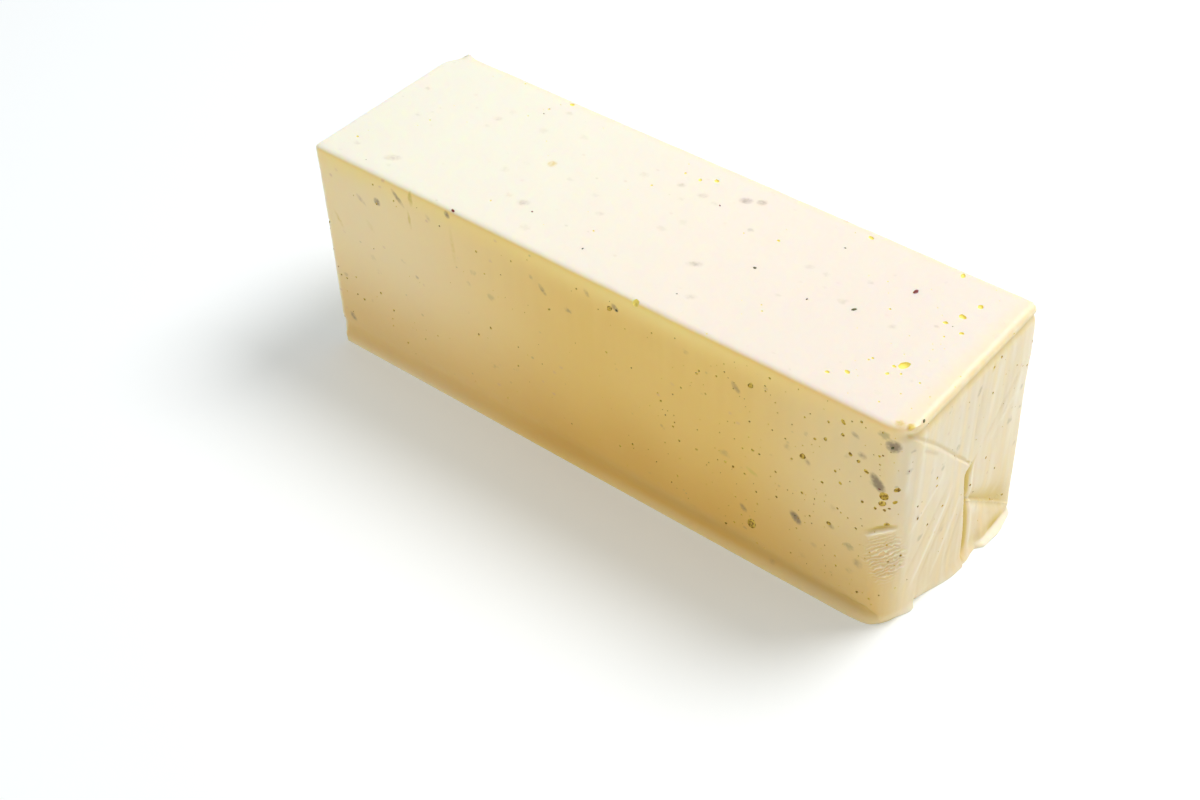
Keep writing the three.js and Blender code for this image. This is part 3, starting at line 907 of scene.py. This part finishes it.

# %% [markdown]
# ## The skin
#
# Soft cheese lets light in and gives it back nearby, a little warmer, so the skin uses
# subsurface scattering. Its top is nearly white, with a yellower rim. The sides are yellower
# still. Along the middle of the front, part of that yellow is painted warm light, as if
# bounced from a table, over the cheese's own yellow, and low on the sides painted shade and
# warm bounce darken it. A band under the top edge has a painted glow of light seeping through
# the edge. The hollows of the folds and the valley above the foot get painted shade, and the
# foot lip, the ripple crests and the rims get painted highlights. Under the skin lie bits that
# show only as blurred shadows. All of it is painted by the place on the loaf, with the same
# curves that bent it. A picture wrapped round the loaf could do this too, but it would blur up
# close and tell nothing about why a colour is where it is.

# %% Fields for painting
def place_of(tree):
    """The place on the loaf in millimetres, whole and as along, across and height."""
    place = Field(tree, add_node(tree, "ShaderNodeTexCoord").outputs["Object"])
    scaled = add_node(tree, "ShaderNodeVectorMath", {0: place, "Scale": 1 / MM}, operation="SCALE")
    whole = Field(tree, scaled.outputs["Vector"])
    return [whole, *split(tree, whole)]


def paint_noise(place, size_mm, seed, stretch=(1, 1, 1), detail=0):
    """Smooth randomness from -1 to 1 over the skin."""
    tree = place.tree
    feeds = {0: place, 1: stretch, 2: (seed, -seed, 2 * seed)}
    node = add_node(tree, "ShaderNodeVectorMath", feeds, operation="MULTIPLY_ADD")
    moved = Field(tree, node.outputs["Vector"])
    feeds = {"Vector": moved, "Scale": 1 / size_mm, "Detail": detail}
    node = add_node(tree, "ShaderNodeTexNoise", feeds)
    return Field(tree, node.outputs["Fac"]) * 2 - 1


def blend(share, first, second, how="MIX"):
    """The first colour where the share is 0, and the second where it is 1."""
    tree = share.tree
    node = add_node(tree, "ShaderNodeMix", data_type="RGBA", blend_type=how)
    for slot, value in ((0, share), (6, first), (7, second)):
        feed(tree, node.inputs[slot], value)
    return Field(tree, node.outputs[2])


def attribute(tree, name):
    node = add_node(tree, "ShaderNodeAttribute", attribute_name=name)
    return Field(tree, node.outputs["Fac"])


def fine_relief(shader, height, strength, depth_mm):
    """Relief too fine for the mesh, which only the light sees."""
    feeds = {"Height": height, "Strength": strength, "Distance": depth_mm * MM}
    bump = add_node(height.tree, "ShaderNodeBump", feeds)
    height.tree.links.new(bump.outputs["Normal"], shader.inputs["Normal"])

# %% Blurred bits under the skin, listed
# For each face: both places, length and width in mm, slant in degrees, and strength.
GREY_SHADOWS = (
    ("front", (
        (128.8, 88.2, 5, 3.6, -40, 0.95), (124.8, 70, 7.4, 2.9, -55, 0.95),
        (114.5, 86, 3.2, 1.6, -25, 0.5), (118, 78.8, 3.4, 2.2, 0, 0.5),
        (88.8, 65.5, 3.2, 2.4, -30, 0.3), (97.4, 63.4, 3, 1.8, -50, 0.5),
        (66.5, 80.5, 4.6, 1.9, -52, 0.6), (72.2, 25, 3.6, 2, -52, 0.6),
        (94.5, 34, 5.4, 2.6, -50, 0.95), (109, 48.2, 3.2, 2.6, -30, 0.25),
        (102.8, 25.2, 3, 2, 0, 0.25), (98.5, 16.8, 3.2, 2, -20, 0.25), (121, 27.5, 4, 3.2, 0, 0.4),
        (117.8, 21.8, 3, 2.2, 0, 0.3), (86.2, 5, 3.2, 1.8, 0, 0.3),
        (-103, 83.5, 3.2, 2.4, -60, 0.85), (-91, 90.5, 7.5, 1.7, -48, 0.6),
        (-112.2, 80.5, 6, 1.6, -42, 0.4), (-127, 15, 4.4, 2.1, -60, 0.6),
        (-65.5, 94.2, 3, 1.8, -50, 0.75), (-57.2, 65.8, 2.6, 1.4, -40, 0.35),
        (-19.8, 81.2, 4.6, 1.6, -50, 0.6), (-25.2, 84.5, 2.4, 1.4, -50, 0.4),
        (1.2, 89.8, 3.6, 1.6, -50, 0.4), (13.9, 89.4, 3.4, 1.7, -40, 0.75),
        (109, 39, 3, 1.8, -50, 0.5), (-76, 88, 3.6, 1.6, -50, 0.3),
    )),
    ("end", (
        (-38.5, 77, 3.6, 1.6, 40, 0.4), (-12.2, 31.2, 4.6, 2.4, 50, 0.3),
        (-24.2, 68, 3, 1.6, 60, 0.25), (3.8, 83.5, 4.4, 1.9, 62, 0.45),
        (-9.2, 47.2, 3, 1.6, 60, 0.2), (26, 60, 4, 1.8, 60, 0.25), (15, 21.5, 4, 1.8, 60, 0.3),
    )),
    ("top", (
        (19.8, 28.5, 5, 1.8, 30, 0.51), (25.2, 31, 4, 1.8, 35, 0.51),
        (5.2, 21.5, 4, 1.5, 30, 0.34), (-5.2, 22, 3.4, 1.4, 30, 0.34),
        (100.8, 0.2, 3.6, 1.4, 30, 0.26), (27, -12.8, 6, 1.6, 30, 0.37),
        (36.8, -28.2, 4.6, 1.6, 30, 0.27), (-45.2, -21.8, 5, 1.8, 30, 0.37),
        (-18.5, -10.2, 4, 1.4, 30, 0.24), (-89, 13.8, 4, 1.6, 30, 0.27),
        (60.2, 10.2, 4, 1.4, 30, 0.24), (-104, -30, 7, 2, 30, 0.34),
    )),
)
WARM_SHADOWS = (
    ("front", (
        (75, 45, 5, 1.5, -20, 0.9), (-84.2, 93, 2.2, 4.6, 0, 0.8), (-86, 82.5, 1.7, 6, 4, 0.6),
        (-64, 80, 2.4, 13, 3, 0.35), (-127, 64.5, 7.5, 1.6, -62, 0.5),
        (-109, 69, 6, 2.4, -50, 0.3),
    )),
    ("end", (
        (12, 88.5, 3.6, 1.8, 70, 0.6),
    )),
    ("top", (
        (-52.5, 3.5, 3.6, 2, 20, 0.55), (129, -39.8, 3.6, 1.6, 0, 0.6),
        (134, -39.6, 2.6, 1.8, 0, 0.9),
    )),
)
PEACH_SHADOWS = (
    ("cut", (
        (26.8, 76.5, 11, 2.2, 80, 0.5), (7.7, 24.6, 11, 2.6, 95, 0.3),
        (28.7, 17.8, 9, 2, 80, 0.25), (-3, 43.5, 8, 3.4, 10, 0.4),
    )),
)


# %% How they are painted
# For each face: the axis that a slant of 0 follows, and the axis that the slant turns about.
BIT_AXES = {
    "front": ((1, 0, 0), (0, -1, 0)),
    "top": ((1, 0, 0), (0, 0, 1)),
    "end": ((0, 1, 0), (1, 0, 0)),
    "cut": ((0, 1, 0), (1, 0, 0)),
}
REACH_ALONG = 0.7
REACH_ACROSS = {"front": 0.9, "top": 1.35, "end": 0.9, "cut": 0.9}


def vector_math(operation, output, first, second):
    node = add_node(first.tree, "ShaderNodeVectorMath", {0: first, 1: second}, operation=operation)
    return Field(first.tree, node.outputs[output])


def shadow_mask(place, table, blur):
    """How strongly the bits under the skin show at each place, as a soft hill over each."""
    rows = rows_of(table)
    points = points_on_loaf("shadows", rows)
    centres = [point.co / MM for point in points.data.vertices]
    bpy.data.objects.remove(points)
    hills = blur * 0
    for (face, _, _, length, width, slant, strength), centre in zip(rows, centres):
        long_axis, slant_axis = (Vector(axis) for axis in BIT_AXES[face])
        long_axis.rotate(Matrix.Rotation(math.radians(slant), 3, slant_axis))
        steep = strength / (REACH_ACROSS[face] * width) ** 2
        eased = steep - strength / (REACH_ALONG * length) ** 2
        from_centre = vector_math("SUBTRACT", "Vector", place, centre)
        squared = vector_math("DOT_PRODUCT", "Value", from_centre, from_centre)
        on_axis = vector_math("DOT_PRODUCT", "Value", from_centre, long_axis)
        hill = (on_axis * on_axis).math("MULTIPLY_ADD", eased, strength)
        hills = larger(hills, squared.math("MULTIPLY_ADD", -steep, hill))
    return smoothstep(hills * (1 + 0.7 * blur), 0.04, 0.95)

# %% Scattered ones
def scattered_shadows(place, cell_mm, seed, share_kept, radius):
    """Soft shadows of bits at random depths: strength, and a random value for each bit."""
    tree = place.tree
    turned = add_node(tree, "ShaderNodeMapping", {
        "Vector": place, "Location": (seed, seed, -seed), "Rotation": (0.2, math.radians(45), 0.3),
        "Scale": (0.78 / cell_mm, 1 / cell_mm, 1 / cell_mm),
    })
    turned = Field(tree, turned.outputs[0])
    cells = add_node(tree, "ShaderNodeTexVoronoi", {"Vector": turned, "Scale": 1})
    distance = Field(tree, cells.outputs["Distance"])
    red, green, blue = split(tree, Field(tree, cells.outputs["Color"]))
    reach = radius * (0.4 + 0.6 * green)
    kept = red.math("LESS_THAN", share_kept)
    far = distance / reach + 0.35 * paint_noise(place, 1.2, seed)
    return (1 - smoothstep(far, 0.2, 1)) * kept * (0.35 + 0.65 * blue), green

# %% Colours of the cheese
TOP_WHITE = (1, 0.905, 0.77, 1)
TOP_CREAM = (0.885, 0.802, 0.712, 1)
SIDE_CREAM = (0.91, 0.74, 0.43, 1)
SIDE_BOUNCE_YELLOW = (0.83, 0.57, 0.15, 1)
SIDE_PALE = (0.82, 0.66, 0.355, 1)
END_CREAM = (0.785, 0.685, 0.495, 1)
CUT_CREAM = (0.92, 0.83, 0.61, 1)
GLOW_AND_TONE_YELLOW = (1, 0.745, 0.26, 1)
RIM_YELLOW = (0.97, 0.80, 0.50, 1)
LOW_BOUNCE_SHADE = (0.88, 0.76, 0.52, 1)
HOLLOW_SHADE = (0.66, 0.48, 0.08, 1)
SHADE_BROWN = (0.58, 0.39, 0.12, 1)
LIT_LIP_CREAM = (0.90, 0.77, 0.46, 1)
STREAK_AND_HIGHLIGHT_CREAM = (0.97, 0.92, 0.80, 1)
AMBER = (0.72, 0.55, 0.13, 1)
GREY_BIT = (0.20, 0.14, 0.085, 1)
OLIVE_BIT = (0.30, 0.27, 0.12, 1)
ROSE_BIT = (0.62, 0.38, 0.30, 1)
PEACH = (0.86, 0.50, 0.20, 1)
PIT_SHADE = (0.32, 0.18, 0.012, 1)
PIT_HONEY = (0.78, 0.58, 0.09, 1)
PIT_LIT = (1, 0.86, 0.2, 1)

# %% Where the colours change
# A pair gives where a change begins and ends, in mm.
TOP_SLOPE = 0.0155  # the top lies higher at the back
EDGE_TURNS = (95.7, 96.8)
GLOW_AT, GLOW_WIDTH = 95.4, 6.8
BACK = (30, 42)
FRONT_BOUNCE_YELLOWS = (-105, 5)
FRONT_PALES = (58, 120)
# How much of its own colour each kind of shadow shows.
GREY_SHOWS, DEEP_SHOWS, FINE_SHOWS = 0.8, 0.6, 0.45

# %% Paint the sides and the ends
tree = skin.node_tree
place, along, across, height = place_of(tree)
blur = paint_noise(place, 1.4, 2, detail=1)
level = height - TOP_SLOPE * across
on_top = smoothstep(level, *EDGE_TURNS)
on_end = smoothstep(along, 125, 133.5)
on_cut = 1 - smoothstep(along, -134.2, -132.5)
on_back = smoothstep(across, *BACK)
off_back = 1 - 0.75 * on_back
# Painted warm light, as if bounced from a table, over the cheese's own yellow, growing towards the
# middle of the front and weak at the back
colour = blend(smoothstep(along, *FRONT_BOUNCE_YELLOWS) * off_back, SIDE_CREAM, SIDE_BOUNCE_YELLOW)
colour = blend(smoothstep(along, *FRONT_PALES), colour, SIDE_PALE)
colour = blend(on_end, colour, END_CREAM)
colour = blend(on_cut, colour, CUT_CREAM)
# Painted shade and warm bounced light: darker and warmer low on the sides, less on the folded end
low = smoothstep(height, 0, 6) * (1 - smoothstep(height, 8, 60)) * (1 - on_cut)
colour = blend(low * (1 - 0.6 * on_end) * off_back, colour, LOW_BOUNCE_SHADE, "MULTIPLY")
# A painted glow of light seeping through the top edge, in a band under it, paler towards the folded
# end
glow = bell(level - GLOW_AT, GLOW_WIDTH) * (1 - 0.75 * larger(on_end, on_cut)) * off_back
glow = glow * (0.7 + 0.3 * smoothstep(along, -70, 10))
colour = blend(glow * (1 - 0.6 * smoothstep(along, 40, 110)), colour, GLOW_AND_TONE_YELLOW)
# Random yellower clouds and streaks, of the cheese's own tone
streaks = paint_noise(place, 3.2, 14, stretch=(1, 1, 0.07)) * smoothstep(height, 45, 90)
clouds = paint_noise(place, 30, 9) * 0.5 + 0.5
colour = blend(clouds * 0.22 + streaks * 0.1, colour, GLOW_AND_TONE_YELLOW)
colour = blend(0.55 * on_back, colour, CUT_CREAM)
# Lighter and yellower streaks along the film on the folded end
film = paint_noise(place, 3, 37, stretch=(1, 1, 0.05)) * on_end
colour = blend(clamp(film * 0.35, 0, 0.25), colour, STREAK_AND_HIGHLIGHT_CREAM)
colour = blend(clamp(film * -0.35, 0, 0.2), colour, GLOW_AND_TONE_YELLOW)

# %% Paint the top, the folds and the foot
top_colour = blend(smoothstep(along, -120, 125), TOP_WHITE, TOP_CREAM)
top_rim = larger(smoothstep(across, 36.5, 42), smoothstep(along, 123, 132))
top_colour = blend(0.5 * top_rim, top_colour, RIM_YELLOW)
colour = blend(on_top, colour, top_colour)
# Painted shade in the creases, the groove, the pocket, the slant and the other hollows of the folds
hollow_shade = attribute(tree, HOLLOW)
colour = blend(clamp(hollow_shade * 0.95, 0, 1), colour, HOLLOW_SHADE)
# Painted shade in the valley above the foot lip, on the front
valley_shade = attribute(tree, VALLEY) * smoothstep(along, -60, 60) * (1 - smoothstep(across, -30, 0))
colour = blend(0.45 * valley_shade, colour, SHADE_BROWN)
# Painted light on the foot lip, which faces up towards the lamp
lip = (1 - smoothstep(height, 2.5, 5.5)) * (1 - smoothstep(along, 126, 131))
lip = lip * smoothstep(along, -40, 40)
colour = blend(0.4 * lip, colour, LIT_LIP_CREAM)
# Painted highlights on ripple crests, rims, raised lines, the hem and the tongue, and painted shade
# in the troughs
crest = attribute(tree, CREST)
colour = blend(clamp(crest * 0.6, 0, 0.6), colour, STREAK_AND_HIGHLIGHT_CREAM)
colour = blend(clamp(crest * -0.3, 0, 0.3), colour, SHADE_BROWN)

# %% Add the bits under the skin
grey = shadow_mask(place, GREY_SHADOWS, blur)
warm = shadow_mask(place, WARM_SHADOWS, blur)
peach = shadow_mask(place, PEACH_SHADOWS, blur)
fading = (1 - 0.62 * on_top) * smoothstep(height, 7, 14)
deep, deep_kind = scattered_shadows(place, 9, 40, 0.42, 0.27)
fine, fine_kind = scattered_shadows(place, 4.6, 71, 0.22, 0.24)
colour = blend(warm, colour, AMBER)
colour = blend(peach, colour, PEACH)
colour = blend(grey * GREY_SHOWS, colour, GREY_BIT)
deep_colour = blend(deep_kind.math("GREATER_THAN", 0.7), GREY_BIT, OLIVE_BIT)
colour = blend(deep * DEEP_SHOWS * fading, colour, deep_colour)
fine_colour = blend(fine_kind.math("GREATER_THAN", 0.6), OLIVE_BIT, ROSE_BIT)
colour = blend(fine * FINE_SHOWS * fading, colour, fine_colour)

# %% Shine and grain of the skin
LIGHT_REACH = 0.8
MORE_AT_EDGE = 2
shader = tree.nodes["Principled BSDF"]
feed(tree, shader.inputs["Base Color"], colour)
feed(tree, shader.inputs["Roughness"], 0.42 + 0.08 * paint_noise(place, 5, 17))
shader.inputs["Subsurface Weight"].default_value = 0.85
shader.inputs["Subsurface Radius"].default_value = (1, 0.7, 0.3)
light_reach = LIGHT_REACH + MORE_AT_EDGE * bell(level - GLOW_AT, 2.5)
feed(tree, shader.inputs["Subsurface Scale"], light_reach * MM)
shader.inputs["Specular IOR Level"].default_value = 0.45
grain = paint_noise(place, 0.5, 19, detail=1) * 0.5 + paint_noise(place, 2.4, 21)
fine_relief(shader, grain, 0.35, 0.08)
print("skin:", len(tree.nodes), "nodes")

# %% Inside the pits
tree = pit_wall.node_tree
place, _, _, height = place_of(tree)
mottle = smoothstep(paint_noise(place, 0.8, 51), -0.4, 0.2)
pit_colour = blend(mottle, PIT_SHADE, PIT_HONEY)
pit_colour = blend(smoothstep(height, 92.5, 96), pit_colour, PIT_LIT)
pit_shader = tree.nodes["Principled BSDF"]
feed(tree, pit_shader.inputs["Base Color"], pit_colour)
pit_shader.inputs["Roughness"].default_value = 0.5
fine_relief(pit_shader, paint_noise(place, 0.3, 53), 0.4, 0.05)

# %% [markdown]
# ## Bits of pepper
#
# The knife and the mould laid some bits bare: dark green slivers of jalapeno skin, red ones
# and orange ones. Each is a small flat shard that sits in the skin with its face nearly
# flush. Geometry Nodes put a rough shard at each place and turn it to lie in the surface. Bits
# stand in a list, and the back has scattered ones besides, as has the top, thinly. Each
# kind of bit is one piece, with its own finish. They could be painted on, but bare bits are
# moist and catch glints of their own.

# %% Listed bits
# For each kind and face: both places and the length, in mm.
BITS = {
    "green": (
        ("top", (
            (85.5, 0, 2.2), (45.2, -1.8, 1.4), (-10.2, -30, 1.3), (69.5, -5, 0.8),
            (32, -29.8, 0.7), (117, 12.5, 0.8), (134.2, -32.5, 1.4),
        )),
        ("front", (
            (94, 34.6, 1.1), (14.6, 88.6, 1.3), (128.4, 87.6, 1.5),
        )),
        ("cut", (
            (22, 87, 2.6), (-25.3, 83.3, 5), (-17.3, 76, 3.2), (8.2, 80.5, 1.6), (-4.2, 79.1, 1.5),
            (-37.1, 82.6, 1.3), (30.4, 60.3, 2.8), (35.6, 53, 2.6), (-12.9, 62.2, 1.6),
            (1.5, 38.4, 1.7), (1.2, 6.5, 1.7), (-6, 27.4, 1.6), (-30, 50, 1.2), (18, 30, 1),
            (-20, 8, 1.1),
        )),
    ),
    "red": (
        ("top", (
            (97.2, 21, 2.7), (-63.2, -41, 1.9), (-111, -37, 1), (-39, -24, 0.9),
            (-76.8, 27.2, 0.8),
        )),
        ("front", (
            (125.8, 67.8, 1.1),
        )),
        ("end", (
            (-38.6, 77.2, 0.9),
        )),
        ("cut", (
            (30.8, 10.7, 2.4), (-8.2, 10.2, 2.2), (9.8, 7.4, 1.3), (36, 66, 1),
        )),
    ),
    "orange": (
        ("cut", (
            (0, 43.5, 2.6), (-5.2, 44.5, 3.6), (-17.5, 22.8, 2.2), (27.7, 71.7, 1.4),
            (9.2, 27.1, 1.8), (25.4, 79.8, 1.6), (5.4, 17.1, 0.9), (-0.5, 32.8, 1), (-28, 66, 1),
        )),
    ),
}

# %% The recipe for bits
BIT_SIZES = {"Sunk": 0.12, "Width share": 0.5, "Thickness": 0.5, "Raggedness": 0.3}
# The finish slot of each kind, and the first of its seeds.
BIT_KINDS = {
    "green": ("green_pepper", 3),
    "red": ("red_pepper", 4),
    "orange": ("orange_pepper", 5),
}
SCATTERED_PER_SQUARE_METRE = 420


def scattered_places(recipe, seed):
    """Random places on the back and a few on the top, with a length each."""
    _, across, up = split(recipe.tree, recipe.read(BLOCK_PLACE, "FLOAT_VECTOR"))
    at_back = smoothstep(across, HALF.y - 0.4, HALF.y - 0.1)
    on_top = smoothstep(up, HALF.z - 0.4, HALF.z - 0.1)
    above_foot = smoothstep(up + HALF.z, 3, 8)
    density = larger(at_back, on_top * 0.1) * above_foot * SCATTERED_PER_SQUARE_METRE
    recipe.step("GeometryNodeDistributePointsOnFaces", {"Density": density, "Seed": seed},
                into="Mesh", output="Points")
    return random_value(recipe, 0.5, 1.3, seed + 1)


def bit_recipe(kind, scattered):
    _, seed = BIT_KINDS[kind]
    recipe = Recipe(f"{kind}_bit_shards", BIT_SIZES)
    if scattered:
        length = scattered_places(recipe, seed)
    else:
        recipe.step("GeometryNodeMeshToPoints", into="Mesh", output="Points")
        length = recipe.read(LISTED_SIZE)
    normal = nearest_normal(recipe, loaf)
    recipe.move_by(recipe.scaled(normal, recipe.size("Sunk") * -MM))
    share = recipe.size("Width share") + random_value(recipe, -0.2, 0.3, seed + 2)
    rotation = turned_to(recipe, normal, seed + 3)
    put_balls(recipe, rotation, length, length * share, recipe.size("Thickness"), 2)
    roughen(recipe, recipe.size("Raggedness"), 1300)
    recipe.step("GeometryNodeSetMaterial", {"Material": bit_finishes[kind]})
    recipe.finish()
    return recipe

# %% Finishes of the bits
BIT_COLOURS = {
    "green": ((0.035, 0.04, 0.008, 1), (0.15, 0.15, 0.03, 1)),
    "red": ((0.10, 0.008, 0.01, 1), (0.33, 0.045, 0.03, 1)),
    "orange": ((0.62, 0.14, 0.01, 1), (0.85, 0.36, 0.05, 1)),
}


def bit_finish(kind):
    material = bare_material(f"{kind}_bits")
    place = place_of(material.node_tree)[0]
    dark, light = BIT_COLOURS[kind]
    shader = material.node_tree.nodes["Principled BSDF"]
    colour = blend(paint_noise(place, 0.7, 61) * 0.5 + 0.5, dark, light)
    feed(place.tree, shader.inputs["Base Color"], colour)
    feed(place.tree, shader.inputs["Roughness"], 0.35 + 0.1 * paint_noise(place, 0.5, 63))
    fine_relief(shader, paint_noise(place, 0.25, 65), 0.5, 0.05)
    return material


bit_finishes = {kind: bit_finish(kind) for kind in BIT_KINDS}

# %% Make the bits
def join_meshes(name, pieces):
    """One piece of several."""
    bm = bmesh.new()
    for piece in pieces:
        bm.from_mesh(piece.data)
        bpy.data.objects.remove(piece)
    bmesh.ops.recalc_face_normals(bm, faces=bm.faces)
    mesh = bpy.data.meshes.new(name)
    bm.to_mesh(mesh)
    bm.free()
    return new_piece(name, mesh)


bits = []
for kind in BIT_KINDS:
    by_hand = points_on_loaf(f"{kind}_by_hand", rows_of(BITS[kind]))
    run(bit_recipe(kind, scattered=False), by_hand)
    scattered = new_piece(f"{kind}_scattered", loaf.data.copy())
    run(bit_recipe(kind, scattered=True), scattered)
    piece = join_meshes(f"{kind}_bits", (by_hand, scattered))
    piece.data.materials.append(bit_finishes[kind])
    piece.data.shade_smooth()
    bits.append(piece)
    print(piece.name, len(piece.data.polygons), "faces")

# %% [markdown]
# ## The floor, the light and the camera
#
# The picture is bright and soft: one wide lamp high behind the loaf, a weak warm one low in
# front for the light that comes back from a table, and a white sky. The camera stands where
# the straight edges of the loaf say that the photographer stood.

# %% Floor
floor_mesh = bpy.data.meshes.new("floor")
bm = bmesh.new()
bmesh.ops.create_grid(bm, x_segments=8, y_segments=8, size=9)
bm.to_mesh(floor_mesh)
bm.free()
floor = new_piece("floor", floor_mesh)
floor_material = bare_material("floor")
floor_shader = floor_material.node_tree.nodes["Principled BSDF"]
floor_shader.inputs["Base Color"].default_value = (0.9, 0.92, 0.94, 1)
floor_shader.inputs["Roughness"].default_value = 0.9
floor_shader.inputs["Emission Color"].default_value = (0.86, 1, 1, 1)
floor_shader.inputs["Emission Strength"].default_value = 0.12
floor_mesh.materials.append(floor_material)

# %% Lamps
LAMPS_AIM_AT = Vector((0, 0, 0.05))


def soft_lamp(name, place, size, power, colour):
    lamp = bpy.data.lights.new(name, "AREA")
    lamp.shape = "DISK"
    lamp.size = size
    lamp.energy = power
    lamp.color = colour
    stand = bpy.data.objects.new(name, lamp)
    bpy.context.scene.collection.objects.link(stand)
    stand.location = place
    reach = LAMPS_AIM_AT - Vector(place)
    stand.rotation_euler = reach.to_track_quat("-Z", "Y").to_euler()


soft_lamp("key", (0.46, 0.75, 1.5), 0.9, 20, (1, 0.995, 0.98))
soft_lamp("front_fill", (0.3, -1.2, 0.35), 0.8, 0.9, (1, 0.80, 0.5))
world = bpy.data.worlds.new("studio")
bpy.context.scene.world = world
world.use_nodes = True
sky = world.node_tree.nodes["Background"]
sky.inputs["Color"].default_value = (1, 1, 1, 1)
sky.inputs["Strength"].default_value = 0.52
bpy.context.scene.view_settings.view_transform = "Standard"

# %% Camera
AZIMUTH, ELEVATION, ROLL = (math.radians(angle) for angle in (41.04, 40.87, -1.74))
DISTANCE = 0.7012
TARGET = Vector((0.01143, -0.04839, 0.0499))
FOCAL_PIXELS = 1948.8
PHOTO_WIDTH = 1200

towards = Vector((
    math.sin(AZIMUTH) * math.cos(ELEVATION),
    -math.cos(AZIMUTH) * math.cos(ELEVATION),
    math.sin(ELEVATION),
))
right = Vector((0, 0, 1)).cross(towards).normalized()
above = towards.cross(right)
right, above = (
    right * math.cos(ROLL) + above * math.sin(ROLL),
    above * math.cos(ROLL) - right * math.sin(ROLL),
)
lens = bpy.data.cameras.new("camera")
lens.sensor_width = 36
lens.lens = FOCAL_PIXELS * lens.sensor_width / PHOTO_WIDTH
lens.clip_start = 0.01
camera = bpy.data.objects.new("camera", lens)
bpy.context.scene.collection.objects.link(camera)
turn = Matrix((right, above, towards)).transposed().to_4x4()
camera.matrix_world = Matrix.Translation(TARGET + towards * DISTANCE) @ turn
bpy.context.scene.camera = camera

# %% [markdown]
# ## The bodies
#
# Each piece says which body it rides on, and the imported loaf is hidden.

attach(loaf, "root")
for piece, (slot_name, _) in zip(bits, BIT_KINDS.values()):
    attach(piece, "root")
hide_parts("cheese_loaf")
